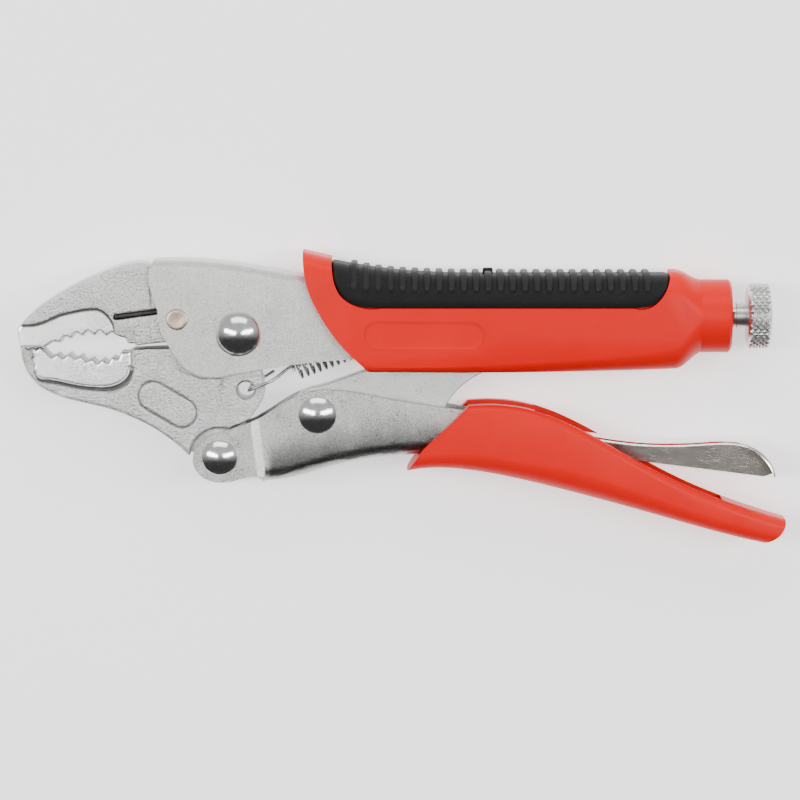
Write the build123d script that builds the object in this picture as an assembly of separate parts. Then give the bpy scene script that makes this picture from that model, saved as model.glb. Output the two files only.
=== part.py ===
from build123d import *
import os

# Locking pliers, closed and locked, lying on one side.
# Drawn about the main pivot: X runs back to the knob, Y from the lower handle to
# the upper one, Z through the thickness with z = 0 at mid-thickness. The last
# step moves the origin to the bottom centre of the whole tool. Millimetres.

# Overall sizes
HANDLE_REACH = 160.0      # main pivot to the rear face of the upper grip
CHANNEL_WIDTH = 17.0      # outside width of both pressed channels
SHEET = 2.0               # steel of both channels
FRONT_TOP = 23.6          # height of the upper channel's front end above the pivot
REAR_LOW = -2.4           # lower edge of the upper channel's rear end
GRIP_WALL = 3.8           # grip's side beyond the channel's side

# Clearances
PIN_GAP = 0.06            # radial, of a hole that turns on its pin
SIDE_GAP = 0.25           # each side, of a piece that turns between two walls
SEAT_GAP = 0.05           # between pieces fixed to each other

# Pivots of the four-bar linkage
JAW_PIVOT = (0.0, 0.0)
EAR_PIVOT = (-6.3, -40.6)
LINK_PIVOT = (25.6, -26.4)
LEVER_PIVOT = (100.0, -36.0)
JAW_PIN_PLACE = (-19.8, 4.6)
ANCHOR_PLACE = (63.0, 4.2)
SPRING_HOLE = (2.3, -18.7)
SCREW_Y = 5.1             # height of the screw's axis
NOSE_X = 102.0            # centre of the link's rear nose, on the screw's axis

# Rivets and pins: shank radius, head radius and head height
MAIN_RIVET = (5.0, 7.3, GRIP_WALL)
EAR_RIVET = (3.6, 5.8, 2.6)
LINK_RIVET = (3.6, 6.1, 2.6)
HEAD_RIM = 0.4            # straight rim under each dome
JAW_PIN_R = 3.4
JAW_PIN_RISE = 0.15
LEVER_PIN_R = 2.0
ANCHOR_PIN_R = 1.5

# Jaws
JAW_STEP = 0.55           # thick part of the jaws beyond the part in the channel
FLAT_SINK = 1.0           # ground flats below the thick part
GROOVE_SINK = 0.5         # groove round the lower jaw's flat, below the flat
BOSS_HALF = 4.5           # half thickness of the lower jaw's boss between the ears
BOSS_R = 7.6
HUB_R = 10.5
EAR_SWEEP_R = 9.8         # room for the ears to turn round their rivet
JAW_EDGE = 1.2            # rounded edge of the forgings
TOOTH = 1.7
TIP_TOOTH = 1.0
TIP_GAP = 0.35
SLOT_DEPTH = 3.5
SPRING_HOLE_R = 2.7
SPRING_HOLE_CHAMFER = 0.6
PLAQUE_R = 5.3            # blank raised plaque on the lower jaw
PLAQUE_GROOVE = 1.0
PLAQUE_SINK = 0.4

# Channels
UPPER_BEND = 3.0          # outside bend radius of the upper channel
LOWER_BEND = 5.0          # outside bend radius of the lower channel
CHANNEL_INSET = 2.0       # channel's rear end inside the grip's rear face
EAR_ROOM = 0.2            # each side, between an ear and the jaw's boss
JOGGLE = (4.3, 8.3)       # where the ears bend out to the channel's full width
LOWER_CHANNEL_END = 126.0

# Link, lever and spring
LINK_HALF = 4.0
LINK_EYE_R = 8.5
NOSE_R = 4.0
NOSE_CLEARANCE = 3.2      # the linkage is opened between this nose and the screw
LEVER_SHEET = 1.3
LEVER_BEND = 1.8          # outside bend between the lever's web and its flanges
LEVER_SIDE_GAP = 0.4
LEVER_EYE_R = 3.2
SPRING_WIRE_R = 0.52
SPRING_MEAN_R = 3.2
SPRING_PITCH = 2.1
SPRING_TURNS = 16

# Adjusting screw
SCREW_R = 4.76
SCREW_BEVEL = 0.8
THREAD_SHOWN = 1.7        # threaded length behind the grip's rear face
KNOB_R = 10.6
KNOB_LENGTH = 7.6
KNOB_GAP = 5.3            # grip's rear face to the knob
KNOB_EDGE = 1.0
KNOB_SEAT = 5.6           # length of the screw's end inside the knob
NUT_LENGTH = 18.0
NUT_WALL = 0.84           # from the screw to the channel's back
LEAST_CORNER = 0.5        # smallest corner inside a grip

# Grips
LINK_SLOT = (20.0, 99.0)  # the link's slot along the upper grip's belly
PAD_THICK = 2.8
PAD_SINK = 0.4            # pad's plain side below the shell's side
RIB_DEPTH = 1.1           # height of the ribs on the grip's back
RIB_PITCH = 3.95
RIB_WIDTH = 2.1
RIB_COUNT = 25
RIB_START = 37.5
RIB_FOOT = 12.4
NUB_PLACE = (80.9, 19.2)
NUB_SIZE = 3.3
RECESS_DEPTH = 0.5
TROUGH_WALL = 2.6
TROUGH_LIFT = 3.0         # opens the trough through the lower grip's top
LIP_END = 96.0            # inward lips of the lower grip end here
TROUGH_END = 157.5        # end of the slot that the release lever lies in

# Derived half thicknesses
OUTER = CHANNEL_WIDTH / 2
INNER = OUTER - SHEET
HUB_HALF = INNER - SIDE_GAP
THICK_HALF = HUB_HALF + JAW_STEP
FLAT_HALF = THICK_HALF - FLAT_SINK
EAR_INNER = BOSS_HALF + EAR_ROOM
EAR_OUTER = EAR_INNER + SHEET
GRIP_HALF = OUTER + GRIP_WALL
COLLAR_R = GRIP_HALF - 0.4
REAR_TOP = SCREW_Y + SCREW_R + NUT_WALL + SHEET
LEVER_HALF = INNER - LEVER_SIDE_GAP

# The handles' outlines are drawn for this reach, and stretch behind the link
DRAWN_REACH = 160.0
STRETCH_FROM = 105.0


def back(x):
    """X of a place on the handles, moved with the reach if it is behind the link."""
    stretch = (HANDLE_REACH - STRETCH_FROM) / (DRAWN_REACH - STRETCH_FROM)
    return x if x < STRETCH_FROM else STRETCH_FROM + (x - STRETCH_FROM) * stretch


def along(*points):
    """Points of a handle's outline, moved with the reach."""
    return [(back(x), y) for x, y in points]


# ---------- small tools ----------

def region(*curves):
    """Face inside a closed run of curves."""
    return Face(Wire([edge for curve in curves for edge in curve.edges()]))


def slab(face, half):
    """Plate of a face, centred on the mid-plane."""
    return extrude(face, amount=half, both=True)


def both_sides(face, low, high):
    """A face's plate between two distances from the mid-plane, on both sides."""
    plate = Pos(0, 0, low) * extrude(face, amount=high - low, dir=(0, 0, 1))
    return plate + mirror(plate, about=Plane.XY)


def disc(place, radius, half):
    return Pos(*place) * Cylinder(radius, 2 * half)


def rounded(solid, half, radius, wanted=lambda point: True):
    """Rounds the edges that lie flat at one distance on both sides."""
    edges = [e for e in solid.edges() if abs(abs(e.center().Z) - half) < 0.01]
    return fillet([e for e in edges if wanted(e.center())], radius)


def rivet(place, sizes, grip_half):
    """Rivet across the mid-plane with a domed head on each end."""
    shank, head, height = sizes
    rise = height - HEAD_RIM
    dome_r = (rise ** 2 + head ** 2) / (2 * rise)
    top = grip_half + height
    dome = Pos(0, 0, top - dome_r) * Sphere(dome_r) & Pos(0, 0, top - height / 2) * Cylinder(head, height)
    return Pos(*place) * (Cylinder(shank, 2 * grip_half) + dome + mirror(dome, about=Plane.XY))


def turned(*profile):
    """Solid turned about the screw's axis from points of (x, radius)."""
    face = make_face(Polyline(*profile, close=True))
    return revolve(Pos(0, SCREW_Y) * face, axis=Axis((0, SCREW_Y, 0), (1, 0, 0)))


def teeth(path, count, depth):
    """Zigzag along a path: a root, then a crest to the path's left, and so on."""
    points = []
    for step in range(count):
        points.append(path @ (step / count))
        crest = path @ ((step + 0.55) / count)
        along_path = path % ((step + 0.55) / count)
        points.append(crest + Vector(-along_path.Y, along_path.X) * depth)
    points.append(path @ 1)
    return points


# ---------- upper channel ----------

def upper_top(drop=0.0):
    """Back of the upper channel, or a line a little below it."""
    points = along((-27.5, FRONT_TOP), (2, 21.9), (21.5, 18.6), (60, 15.4), (104, 13.9))
    points.append((HANDLE_REACH - CHANNEL_INSET, REAR_TOP))
    return Spline([(x, y - drop) for x, y in points])


def channel_front():
    """Front edge of the upper channel's walls, from its back to its belly."""
    return Spline((-28.6, 21.5), (-28.7, 15.5), (-26.2, 7.5), (-25.5, 2.5), (-22, -5),
                  (-16.5, -11.7), (-11, -13.9), (-5, -13.8))


def make_upper_channel():
    rear = HANDLE_REACH - CHANNEL_INSET
    outline = region(
        upper_top(),
        Polyline((rear, REAR_TOP), (rear, REAR_LOW), (36, -8.4)),
        Spline((36, -8.4), (20, -9.9), (7.5, -11.6), (-5, -13.8)),
        channel_front(),
        Line((-28.6, 21.5), (-27.5, FRONT_TOP)),
    )
    channel = rounded(slab(outline, OUTER), OUTER, UPPER_BEND, lambda c: c.Y > REAR_TOP - 0.1 and c.X > -20)
    inside = region(
        upper_top(SHEET),
        Polyline((rear, REAR_TOP - SHEET), (rear + 5, REAR_TOP - SHEET), (rear + 5, -40), (-40, -40)),
        Polyline((-40, -40), (-40, FRONT_TOP - SHEET), (-27.5, FRONT_TOP - SHEET)),
    )
    channel -= rounded(slab(inside, INNER), INNER, UPPER_BEND - SHEET, lambda c: c.Y > 10 and c.X > -20)
    channel -= disc(JAW_PIVOT, MAIN_RIVET[0] + SEAT_GAP, OUTER + 1)
    channel -= disc(JAW_PIN_PLACE, JAW_PIN_R + SEAT_GAP, OUTER + 1)
    return channel - disc(ANCHOR_PLACE, ANCHOR_PIN_R + SEAT_GAP, OUTER + 1)


# ---------- jaws ----------

def tip_zigzag(lift):
    """Fine meeting line of the two jaw tips, from the nose to the mouth."""
    nose = Line((-70.8, -5.9 + lift), (-63.3, -5.6 + lift))
    return teeth(nose, 3, TIP_TOOTH)


def make_upper_jaw():
    mouth = Spline((-63.3, -5.6 + TIP_GAP), (-59.4, -2.4), (-50, 0.6), (-41, 0.2))
    bite = [(p.X, p.Y) for p in teeth(mouth, 6, -TOOTH)]
    bite = [(-63.3, -5.6 + TIP_GAP)] + bite[2:]
    tip = [(p.X, p.Y) for p in tip_zigzag(TIP_GAP)]
    tang_top = FRONT_TOP - UPPER_BEND - SEAT_GAP
    hub_room = HUB_R + 0.6
    outline = region(
        Polyline(*reversed(bite), *reversed(tip[:-1])),
        Polyline(tip[0], (-71.8, 1.0)),
        Spline((-71.8, 1.0), (-70, 3.6), (-64, 9.1), (-55, 14.8), (-45, 19.5), (-35, 22.7), (-30.3, 22.9)),
        Polyline((-30.3, 22.9), (-29.1, 21.4), (-28.4, tang_top), (-3, tang_top - 1.6), (-3, -3.3)),
        Polyline((-3, -3.3), (-22.8, -2.9), (-33.5, -4.1), (-33, -3), (-34.5, -3.5), (-36, -3.3)),
        Polyline((-36, -3.3), (-36.5, -1.5), (-38.2, -1.3), bite[-1]),
    )
    front = slab(outline, THICK_HALF) & Pos(-60, 0) * Box(62.6, 80, 40)
    front = rounded(front, THICK_HALF, JAW_EDGE, lambda c: c.Y > 3 and c.X < -32)
    tang = slab(outline, INNER - SEAT_GAP) & Pos(10, 0) * Box(80, 80, 40)
    jaw = front + tang - disc(JAW_PIVOT, hub_room, OUTER)
    ground = region(
        Spline((-69.8, 2.8), (-64, 3.4), (-58, 5.9), (-50, 7.7), (-45.5, 7.8), (-41.5, 4.6), (-40.3, 0)),
        Polyline((-40.3, 0), (-40.3, -6), (-75, -10), (-75, 2.8), (-69.8, 2.8)),
    )
    jaw -= both_sides(ground, FLAT_HALF, OUTER)
    slot = region(Polyline((-40.5, 4.2), (-26, 6.2), (-26, 7.8), (-40.5, 6.0), (-40.5, 4.2)))
    jaw -= both_sides(slot, THICK_HALF - SLOT_DEPTH, OUTER)
    return jaw - disc(JAW_PIN_PLACE, JAW_PIN_R + SEAT_GAP, OUTER)


def plaque(grow=0.0):
    """Stadium of the blank plaque on the lower jaw's side."""
    return Pos(-23.15, -23.35) * Rot(0, 0, -30.6) * SlotCenterToCenter(10.8, 2 * (PLAQUE_R + grow))


BELLY = [(-16, -40.6), (-24, -33.6), (-34, -27.9), (-45, -24.1), (-57, -21.2), (-67, -15.4), (-70.1, -9.6)]


def forged_blank(half):
    """Oversize block with the lower jaw's rounded belly and nose edges."""
    above_tip = (-70.9, -3)
    belly = Spline(BELLY + [above_tip])
    block = region(belly, Polyline(above_tip, (-70.9, 40), (60, 40), (60, -40.6), BELLY[0]))
    return rounded(slab(block, half), half, JAW_EDGE, lambda c: -65 < c.X < -24 and c.Y < -10)


def make_lower_jaw():
    mouth = Spline((-63.3, -5.6), (-61.5, -7.9), (-55, -8.5), (-45, -10.4), (-40, -9.3), (-36, -6.4))
    bite = [(p.X, p.Y) for p in teeth(mouth, 8, TOOTH)]
    tip = [(p.X, p.Y) for p in tip_zigzag(0.0)]
    outline = region(
        Polyline((-80, -5.9), *tip[:-1], (-63.3, -5.6)),
        Polyline((-63.3, -5.6), *bite[2:], (-34.3, -5.4), (-22.3, -4.9), (-9.4, -4.7)),
        ThreePointArc((-9.4, -4.7), (0, HUB_R), (9.4, -4.7)),
        Spline((9.4, -4.7), (7.8, -14.5), (8.4, -19.5), (5, -26), (1.6, -31)),
        Polyline((1.6, -31), (1.6, -60), (-80, -60), (-80, -5.9)),
    )
    body = slab(outline, HUB_HALF) & forged_blank(HUB_HALF)
    ear_room = region(Polyline((-14, -36.5), (-6, -32.1), (0, -29.8), (3, -28.4), (14, -22.4), (14, -60),
                               (-14, -60), (-14, -36.5)))
    keep_out = slab(ear_room, OUTER) + disc(EAR_PIVOT, EAR_SWEEP_R, OUTER)
    thick = region(
        Spline((-58, -20.0), (-50, -20.0), (-43, -20.0), (-37.4, -18.0), (-34.4, -12.5)),
        Polyline((-34.4, -12.5), (-20.4, -11.5), (-17.2, -13.2), (-12, -14.9), (-4.9, -14.9)),
        Spline((-4.9, -14.9), (-6.1, -20), (-3.6, -26), (1.2, -29.6), (4, -32)),
        Polyline((4, -32), (4, -60), (-58, -60), (-58, -20.0)),
    )
    thick_layer = slab(outline, THICK_HALF) & slab(thick, THICK_HALF) & forged_blank(THICK_HALF)
    eye_x, eye_y = EAR_PIVOT
    boss = region(
        Polyline((eye_x + BOSS_R, eye_y), (2.6, -26.5), (-21, -32.5), (eye_x - BOSS_R, eye_y)),
        ThreePointArc((eye_x - BOSS_R, eye_y), (eye_x, eye_y - BOSS_R), (eye_x + BOSS_R, eye_y)),
    )
    jaw = (body + thick_layer - keep_out) + slab(boss, BOSS_HALF)
    groove = region(
        Spline((-67.6, -7.6), (-66.6, -12), (-65.6, -15.4), (-62, -16.5), (-56, -17.6), (-47, -19.0),
               (-39, -18.3), (-35.4, -15.6), (-34.0, -11)),
        Polyline((-34.0, -11), (-35.4, -11)),
        Spline((-35.4, -11), (-36.7, -14.8), (-40, -16.9), (-47, -17.5), (-56, -16.2), (-62, -15.1),
               (-65, -14.6), (-66, -11), (-67, -7.6)),
        Polyline((-67, -7.6), (-67.6, -7.6)),
    )
    flat = region(
        Spline((-67.3, -4), (-66.3, -12), (-65.3, -15), (-56, -16.9), (-47, -18.2), (-39, -17.5),
               (-35.9, -15.2), (-34.7, -11), (-35, -4)),
        Polyline((-35, -4), (-67.3, -4)),
    )
    jaw -= both_sides(flat, FLAT_HALF, OUTER)
    jaw -= both_sides(groove, FLAT_HALF - GROOVE_SINK, OUTER)
    ring = plaque() - plaque(-PLAQUE_GROOVE)
    jaw -= both_sides(ring, THICK_HALF - PLAQUE_SINK, OUTER)
    jaw -= disc(JAW_PIVOT, MAIN_RIVET[0] + PIN_GAP, OUTER)
    jaw -= disc(EAR_PIVOT, EAR_RIVET[0] + PIN_GAP, OUTER)
    return jaw - spring_hole()


def spring_hole():
    hole = disc(SPRING_HOLE, SPRING_HOLE_R, OUTER)
    mouth = Pos(SPRING_HOLE[0], SPRING_HOLE[1], HUB_HALF - SPRING_HOLE_CHAMFER / 2) * Cone(
        SPRING_HOLE_R, SPRING_HOLE_R + SPRING_HOLE_CHAMFER, SPRING_HOLE_CHAMFER)
    return hole + mouth + mirror(mouth, about=Plane.XY)


# ---------- lower channel ----------

def lower_belly(lift=0.0):
    """Underside of the lower channel, or a line a little above it."""
    points = along((JOGGLE[1], -48.4), (15, -47.8), (30, -43.8), (52, -40.1), (75, -40.0), (100, -43.6))
    points.append((back(LOWER_CHANNEL_END), -51.0))
    return Spline([(x, y + lift) for x, y in points])


def lower_rim():
    """Upper edge of the lower channel's walls."""
    return Spline((0, -30.3), (10, -25.8), (19, -20.4), (30, -18.4), (44, -20.5), (73, -25.1), (98, -29.4))


def ear_plates():
    """Both ears seen along Y: flat by the jaw's boss, bent out to the channel's walls."""
    start, end = JOGGLE
    wall = [(-40, EAR_INNER), (start, EAR_INNER), (end, INNER), (end, OUTER), (start, EAR_OUTER),
            (-40, EAR_OUTER)]
    plate = extrude(Plane.XZ * make_face(Polyline(*wall, close=True)), amount=90)
    return plate + mirror(plate, about=Plane.XY)


def make_lower_channel():
    end = back(LOWER_CHANNEL_END)
    fold = JOGGLE[1]
    outline = region(
        lower_rim(),
        Polyline((98, -29.4), (end, -43), (end, -51)),
        lower_belly(),
        Polyline((fold, -48.4), (6.6, -47.1), (4.5, -46.8), (0, -47.8)),
        Spline((0, -47.8), (-7, -48.8), (-12.5, -46.7), (-15.1, -41.6), (-12.5, -36.0), (-6, -32.6)),
        Polyline((-6, -32.6), (0, -30.3)),
    )
    behind_ears = Pos(fold + 150, -40) * Box(300, 120, 60)
    trough = slab(outline, OUTER) & behind_ears
    trough = rounded(trough, OUTER, LOWER_BEND, lambda c: c.Y < -38 and 30 < c.X < 100)
    inside = region(
        lower_belly(SHEET),
        Polyline((end, -51 + SHEET), (end + 9, -51 + SHEET), (end + 9, 10), (fold, 10)),
        Line((fold, 10), (fold, -48.4 + SHEET)),
    )
    hollow = rounded(slab(inside, INNER), INNER, LOWER_BEND - SHEET, lambda c: c.Y < -36 and 30 < c.X < 100)
    channel = (trough - hollow) + (slab(outline, OUTER) & ear_plates())
    channel -= disc(EAR_PIVOT, EAR_RIVET[0] + SEAT_GAP, OUTER + 1)
    channel -= disc(LINK_PIVOT, LINK_RIVET[0] + SEAT_GAP, OUTER + 1)
    return channel - disc(LEVER_PIVOT, LEVER_PIN_R + SEAT_GAP, OUTER + 1)


# ---------- toggle link, lever, spring ----------

def make_toggle_link():
    outline = region(
        Polyline((25.0, -17.9), (29, -16.8), (42, -12.2), (NOSE_X - 1.4, SCREW_Y + 3.7)),
        ThreePointArc((NOSE_X - 1.4, SCREW_Y + 3.7), (NOSE_X + NOSE_R, SCREW_Y), (NOSE_X + 2, SCREW_Y - 3.5)),
        Line((NOSE_X + 2, SCREW_Y - 3.5), (80, -12.8)),
        Spline((80, -12.8), (74, -16.2), (70, -20), (66.6, -26.3)),
        Polyline((66.6, -26.3), (58, -29.2), (28, -34.6)),
        ThreePointArc((28, -34.6), (LINK_PIVOT[0] - LINK_EYE_R, LINK_PIVOT[1] - 0.4), (25.0, -17.9)),
    )
    link = slab(outline, LINK_HALF) + disc(LINK_PIVOT, LINK_EYE_R - 2.2, INNER - SIDE_GAP)
    return link - disc(LINK_PIVOT, LINK_RIVET[0] + PIN_GAP, OUTER)


def lever_top(drop=0.0):
    """Upper face of the lever's web from its nose to the tail, or a line below it."""
    front = [(67.0, -31.2), (82, -30.9), (100, -31.4), (120, -34.5), (133, -35.9), (150, -35.7)]
    tail = [(160, -35.4), (166.5, -36.7), (171, -39.4), (175.2, -46.2)]
    points = along(*front, *tail)
    return Spline([(x - 0.6 * drop * (x > back(170)), y - drop) for x, y in points])


def make_release_lever():
    top, under = lever_top(), lever_top(LEVER_SHEET)
    web = region(top, Line(top @ 1, under @ 1), under, Line(under @ 0, top @ 0))
    lever = slab(web, LEVER_HALF)
    eye_x, eye_y = LEVER_PIVOT
    cheeks = region(
        under,
        Polyline(under @ 1, (back(172), -48.4), (back(155), -46.2), (back(134), -43.6), (back(118), -41.0)),
        Polyline((back(118), -41.0), (eye_x + 3, eye_y - LEVER_EYE_R)),
        Polyline((eye_x + 3, eye_y - LEVER_EYE_R), (eye_x - 6, eye_y - LEVER_EYE_R + 0.6), (72, -34.8)),
        Line((72, -34.8), under @ 0),
    )
    inner = LEVER_HALF - LEVER_SHEET
    near = Pos(0, 0, inner) * extrude(cheeks, amount=LEVER_SHEET, dir=(0, 0, 1))
    far = mirror(near, about=Plane.XY)
    lever += far + (near & Pos(eye_x - 32, -35) * Box(100, 60, 60))
    for side in (-LEVER_HALF, LEVER_HALF):
        sheet_edges = [e for e in lever.edges() if abs(e.center().Z - side) < 0.01 and e.length > 60]
        lever = fillet(max(sheet_edges, key=lambda e: e.center().Y), LEVER_BEND)
    return lever - disc(LEVER_PIVOT, LEVER_PIN_R + PIN_GAP, OUTER)


def make_tension_spring():
    """Coil with a hook through the jaw's hole and a hook round the anchor pin."""
    start = Vector(18.0, -12.6, 0)
    anchor = Vector(ANCHOR_PLACE[0], ANCHOR_PLACE[1], 0)
    axis = (anchor - start).normalized()
    side = Vector(-axis.Y, axis.X, 0)
    length = SPRING_PITCH * SPRING_TURNS
    frame = Plane(origin=start, x_dir=(0, 0, 1), z_dir=axis)
    coil_path = Helix(SPRING_PITCH, length, SPRING_MEAN_R, center=(0, 0, 0), direction=(0, 0, 1))
    coil_path = frame.location * coil_path
    coil = sweep(wire_section(coil_path), path=coil_path, is_frenet=True)
    outside = HUB_HALF + SPRING_WIRE_R + 0.3
    first = coil_path @ 0
    hole = Vector(SPRING_HOLE[0] + 1.2, SPRING_HOLE[1] + 0.2, 0)
    front = hook([
        first + (coil_path % 0) * 0.2,
        first - (coil_path % 0) * 2.2 - axis * 1.2,
        Vector(11.4, -15.2, outside),
        hole + Vector(0, 0, outside),
        hole - Vector(0, 0, outside),
        Vector(11.2, -13.4, -outside),
    ], 1.0)
    last = coil_path @ 1
    reach = ANCHOR_PIN_R + SPRING_WIRE_R + 0.15
    rear = hook([
        last - (coil_path % 1) * 0.2,
        last + (coil_path % 1) * 2.4 + axis * 0.9,
        start + axis * (length + 5.2) + side * reach,
        anchor + axis * reach + side * reach,
        anchor + axis * reach - side * reach,
        anchor - axis * 1.6 - side * reach,
    ], 0.95)
    return coil + front + rear


def wire_section(path):
    return Plane(origin=path @ 0, z_dir=path % 0) * Circle(SPRING_WIRE_R)


def hook(points, bend):
    path = FilletPolyline(*points, radius=bend)
    return sweep(wire_section(path), path=path)


# ---------- screw ----------

def make_adjusting_screw():
    tip = NOSE_X + NOSE_R + NOSE_CLEARANCE
    thread_end = HANDLE_REACH + THREAD_SHOWN
    end = HANDLE_REACH + KNOB_GAP + KNOB_SEAT
    return turned((tip, 0), (tip, SCREW_R - 1.2), (tip + 1.5, SCREW_R), (thread_end, SCREW_R),
                  (thread_end + SCREW_BEVEL, SCREW_R - 0.5), (end, SCREW_R - 0.5), (end, 0))


def make_adjusting_knob():
    start = HANDLE_REACH + KNOB_GAP
    end = start + KNOB_LENGTH
    seat = SCREW_R - 0.5 + PIN_GAP
    knob = turned((start, 0), (start, KNOB_R - KNOB_EDGE), (start + KNOB_EDGE, KNOB_R),
                  (end - KNOB_EDGE, KNOB_R), (end, KNOB_R - KNOB_EDGE), (end, 0))
    return knob - turned((start - 1, 0), (start - 1, seat), (start + KNOB_SEAT + PIN_GAP, seat),
                         (start + KNOB_SEAT + PIN_GAP, 0))


def make_end_nut():
    rear = HANDLE_REACH - CHANNEL_INSET
    front = rear - NUT_LENGTH
    low, high = SCREW_Y - SCREW_R - 1.64, REAR_TOP - SHEET - SEAT_GAP
    half = INNER - SEAT_GAP
    block = Pos((front + rear) / 2, (low + high) / 2) * Box(NUT_LENGTH, high - low, 2 * half)
    block = chamfer(block.edges().filter_by(Axis.X).sort_by(Axis.Y)[2:], UPPER_BEND - SHEET)
    return block - turned((front - 1, 0), (front - 1, SCREW_R + PIN_GAP), (rear + 1, SCREW_R + PIN_GAP),
                          (rear + 1, 0))


# ---------- grips ----------

def section(x, top, bottom, half, round_top, round_bottom, inset):
    """Cross-section of a grip: a rectangle with two corner radii."""
    face = Rectangle(2 * (half - inset), top - bottom - 2 * inset)
    corners = face.vertices().sort_by(Axis.Y)
    face = fillet(corners[2:], max(round_top - inset, LEAST_CORNER))
    face = fillet(face.vertices().sort_by(Axis.Y)[:2], max(round_bottom - inset, LEAST_CORNER))
    return Plane(origin=(x, (top + bottom) / 2, 0), x_dir=(0, 0, -1), z_dir=(1, 0, 0)) * face


def upper_grip_body(inset=0.0, drop=0.0):
    """Whole upper grip, shell and pad together, or a smaller one inside it."""
    swell = GRIP_HALF + 0.4
    collar_top, collar_low = SCREW_Y + COLLAR_R, SCREW_Y - COLLAR_R
    stations = [
        (14.0, 28.6, -12.4, GRIP_HALF - 1.2, 6.0, 3.0),
        (30.0, 24.5, -12.4, GRIP_HALF - 0.4, 6.5, 3.0),
        (45.0, 21.9, -12.4, swell, 7.0, 3.5),
        (69.0, 20.0, -12.6, swell, 7.5, 4.0),
        (100.0, 20.0, -12.6, swell, 7.5, 6.0),
        (127.0, 20.1, -12.2, swell, 7.5, 8.0),
        (141.0, 20.1, -11.8, swell - 0.2, 8.0, 9.0),
    ]
    body = loft([section(back(x), top - drop, *rest, inset) for x, top, *rest in stations])
    shoulder = loft([
        section(back(141.0), 20.1 - drop, -11.8, swell - 0.2, 8.0, 9.0, inset),
        section(back(143.5), 19.7 - drop, -11.4, swell - 0.3, 8.6, 9.6, inset),
        section(back(147.2), collar_top + 0.9, collar_low - 1.8, COLLAR_R + 0.2, 10.4, 10.6, inset),
        section(back(150.0), collar_top, collar_low, COLLAR_R, COLLAR_R - 0.3, COLLAR_R - 0.4, inset),
    ])
    collar = turned((back(149.9), 0), (back(149.9), COLLAR_R - inset), (HANDLE_REACH - 0.8, COLLAR_R - inset),
                    (HANDLE_REACH - inset, COLLAR_R - 0.9 - inset), (HANDLE_REACH - inset, 0))
    whole = body + shoulder + collar
    return whole & Box(3 * HANDLE_REACH, 200, 2 * (GRIP_HALF - inset))


def grip_side():
    """Side outline that cuts the upper grip's slanted front."""
    return region(
        Spline((21.0, 29.0), (21.0, 24.0), (22.3, 15.5), (26, 7), (32, -2), (38, -8.3), (42, -12), (45, -15)),
        Polyline((45, -15), (HANDLE_REACH + 9, -15), (HANDLE_REACH + 9, 29.0), (21.0, 29.0)),
    )


def pad_side(shrink=0.0):
    """Side outline of the ribbed pad."""
    low = 8.5 + shrink
    return region(
        Spline((30 + shrink, 30), (30.5 + shrink, 20), (33.2 + shrink, 12.5), (38 + shrink, low + 0.8),
               (46, low)),
        Line((46, low), (back(128), low)),
        Spline((back(128), low), (back(134.5) - shrink, low + 0.9), (back(138.5) - shrink, 14.5),
               (back(140) - shrink, 20), (back(140.3) - shrink, 30)),
        Line((back(140.3) - shrink, 30), (30 + shrink, 30)),
    )


def ribs():
    """Bars across the pad, from one side of the grip over its back to the other."""
    places = [back(RIB_START + RIB_PITCH * index) for index in range(RIB_COUNT)]
    bars = Part() + [Pos(x, RIB_FOOT + 20) * Box(RIB_WIDTH, 40, 60) for x in places]
    return bars & upper_grip_body()


def make_upper_grip_pad():
    base = upper_grip_body(PAD_SINK, RIB_DEPTH - PAD_SINK) & slab(pad_side(SEAT_GAP), OUTER * 2)
    nub_x, nub_y = NUB_PLACE
    nub = Pos(back(nub_x), nub_y) * Box(NUB_SIZE, NUB_SIZE, NUB_SIZE)
    return base + ribs() + nub - upper_grip_body(PAD_THICK)


def channel_envelope():
    """Room for the upper channel and all that it holds."""
    front = -40.0
    rear = HANDLE_REACH - CHANNEL_INSET + SEAT_GAP
    outline = region(
        upper_top(-SEAT_GAP),
        Polyline((rear - SEAT_GAP, REAR_TOP + SEAT_GAP), (rear, REAR_TOP + SEAT_GAP), (rear, REAR_LOW - 0.1)),
        Polyline((rear, REAR_LOW - 0.1), (36, -8.5), (front, -14), (front, FRONT_TOP + SEAT_GAP)),
        Line((front, FRONT_TOP + SEAT_GAP), (-27.5, FRONT_TOP + SEAT_GAP)),
    )
    room = slab(outline, OUTER + SEAT_GAP)
    return rounded(room, OUTER + SEAT_GAP, UPPER_BEND, lambda c: c.Y > REAR_TOP - 0.1 and c.X > -20)


def make_upper_grip_shell():
    shell = upper_grip_body() & slab(grip_side(), OUTER * 2)
    shell -= slab(pad_side(), OUTER * 2) - upper_grip_body(PAD_THICK + SEAT_GAP)
    shell -= channel_envelope()
    slot_start, slot_end = LINK_SLOT
    shell -= Pos((slot_start + slot_end) / 2, -12) * Box(slot_end - slot_start, 24, 2 * INNER)
    shell -= turned((HANDLE_REACH - 9, 0), (HANDLE_REACH - 9, SCREW_R + 0.4),
                    (HANDLE_REACH + 1, SCREW_R + 0.4), (HANDLE_REACH + 1, 0))
    recess = Pos(60.3, -0.2) * Rot(0, 0, -0.6) * SlotOverall(39.0, 8.7)
    return shell - both_sides(recess, GRIP_HALF - RECESS_DEPTH, GRIP_HALF + 5)


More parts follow.
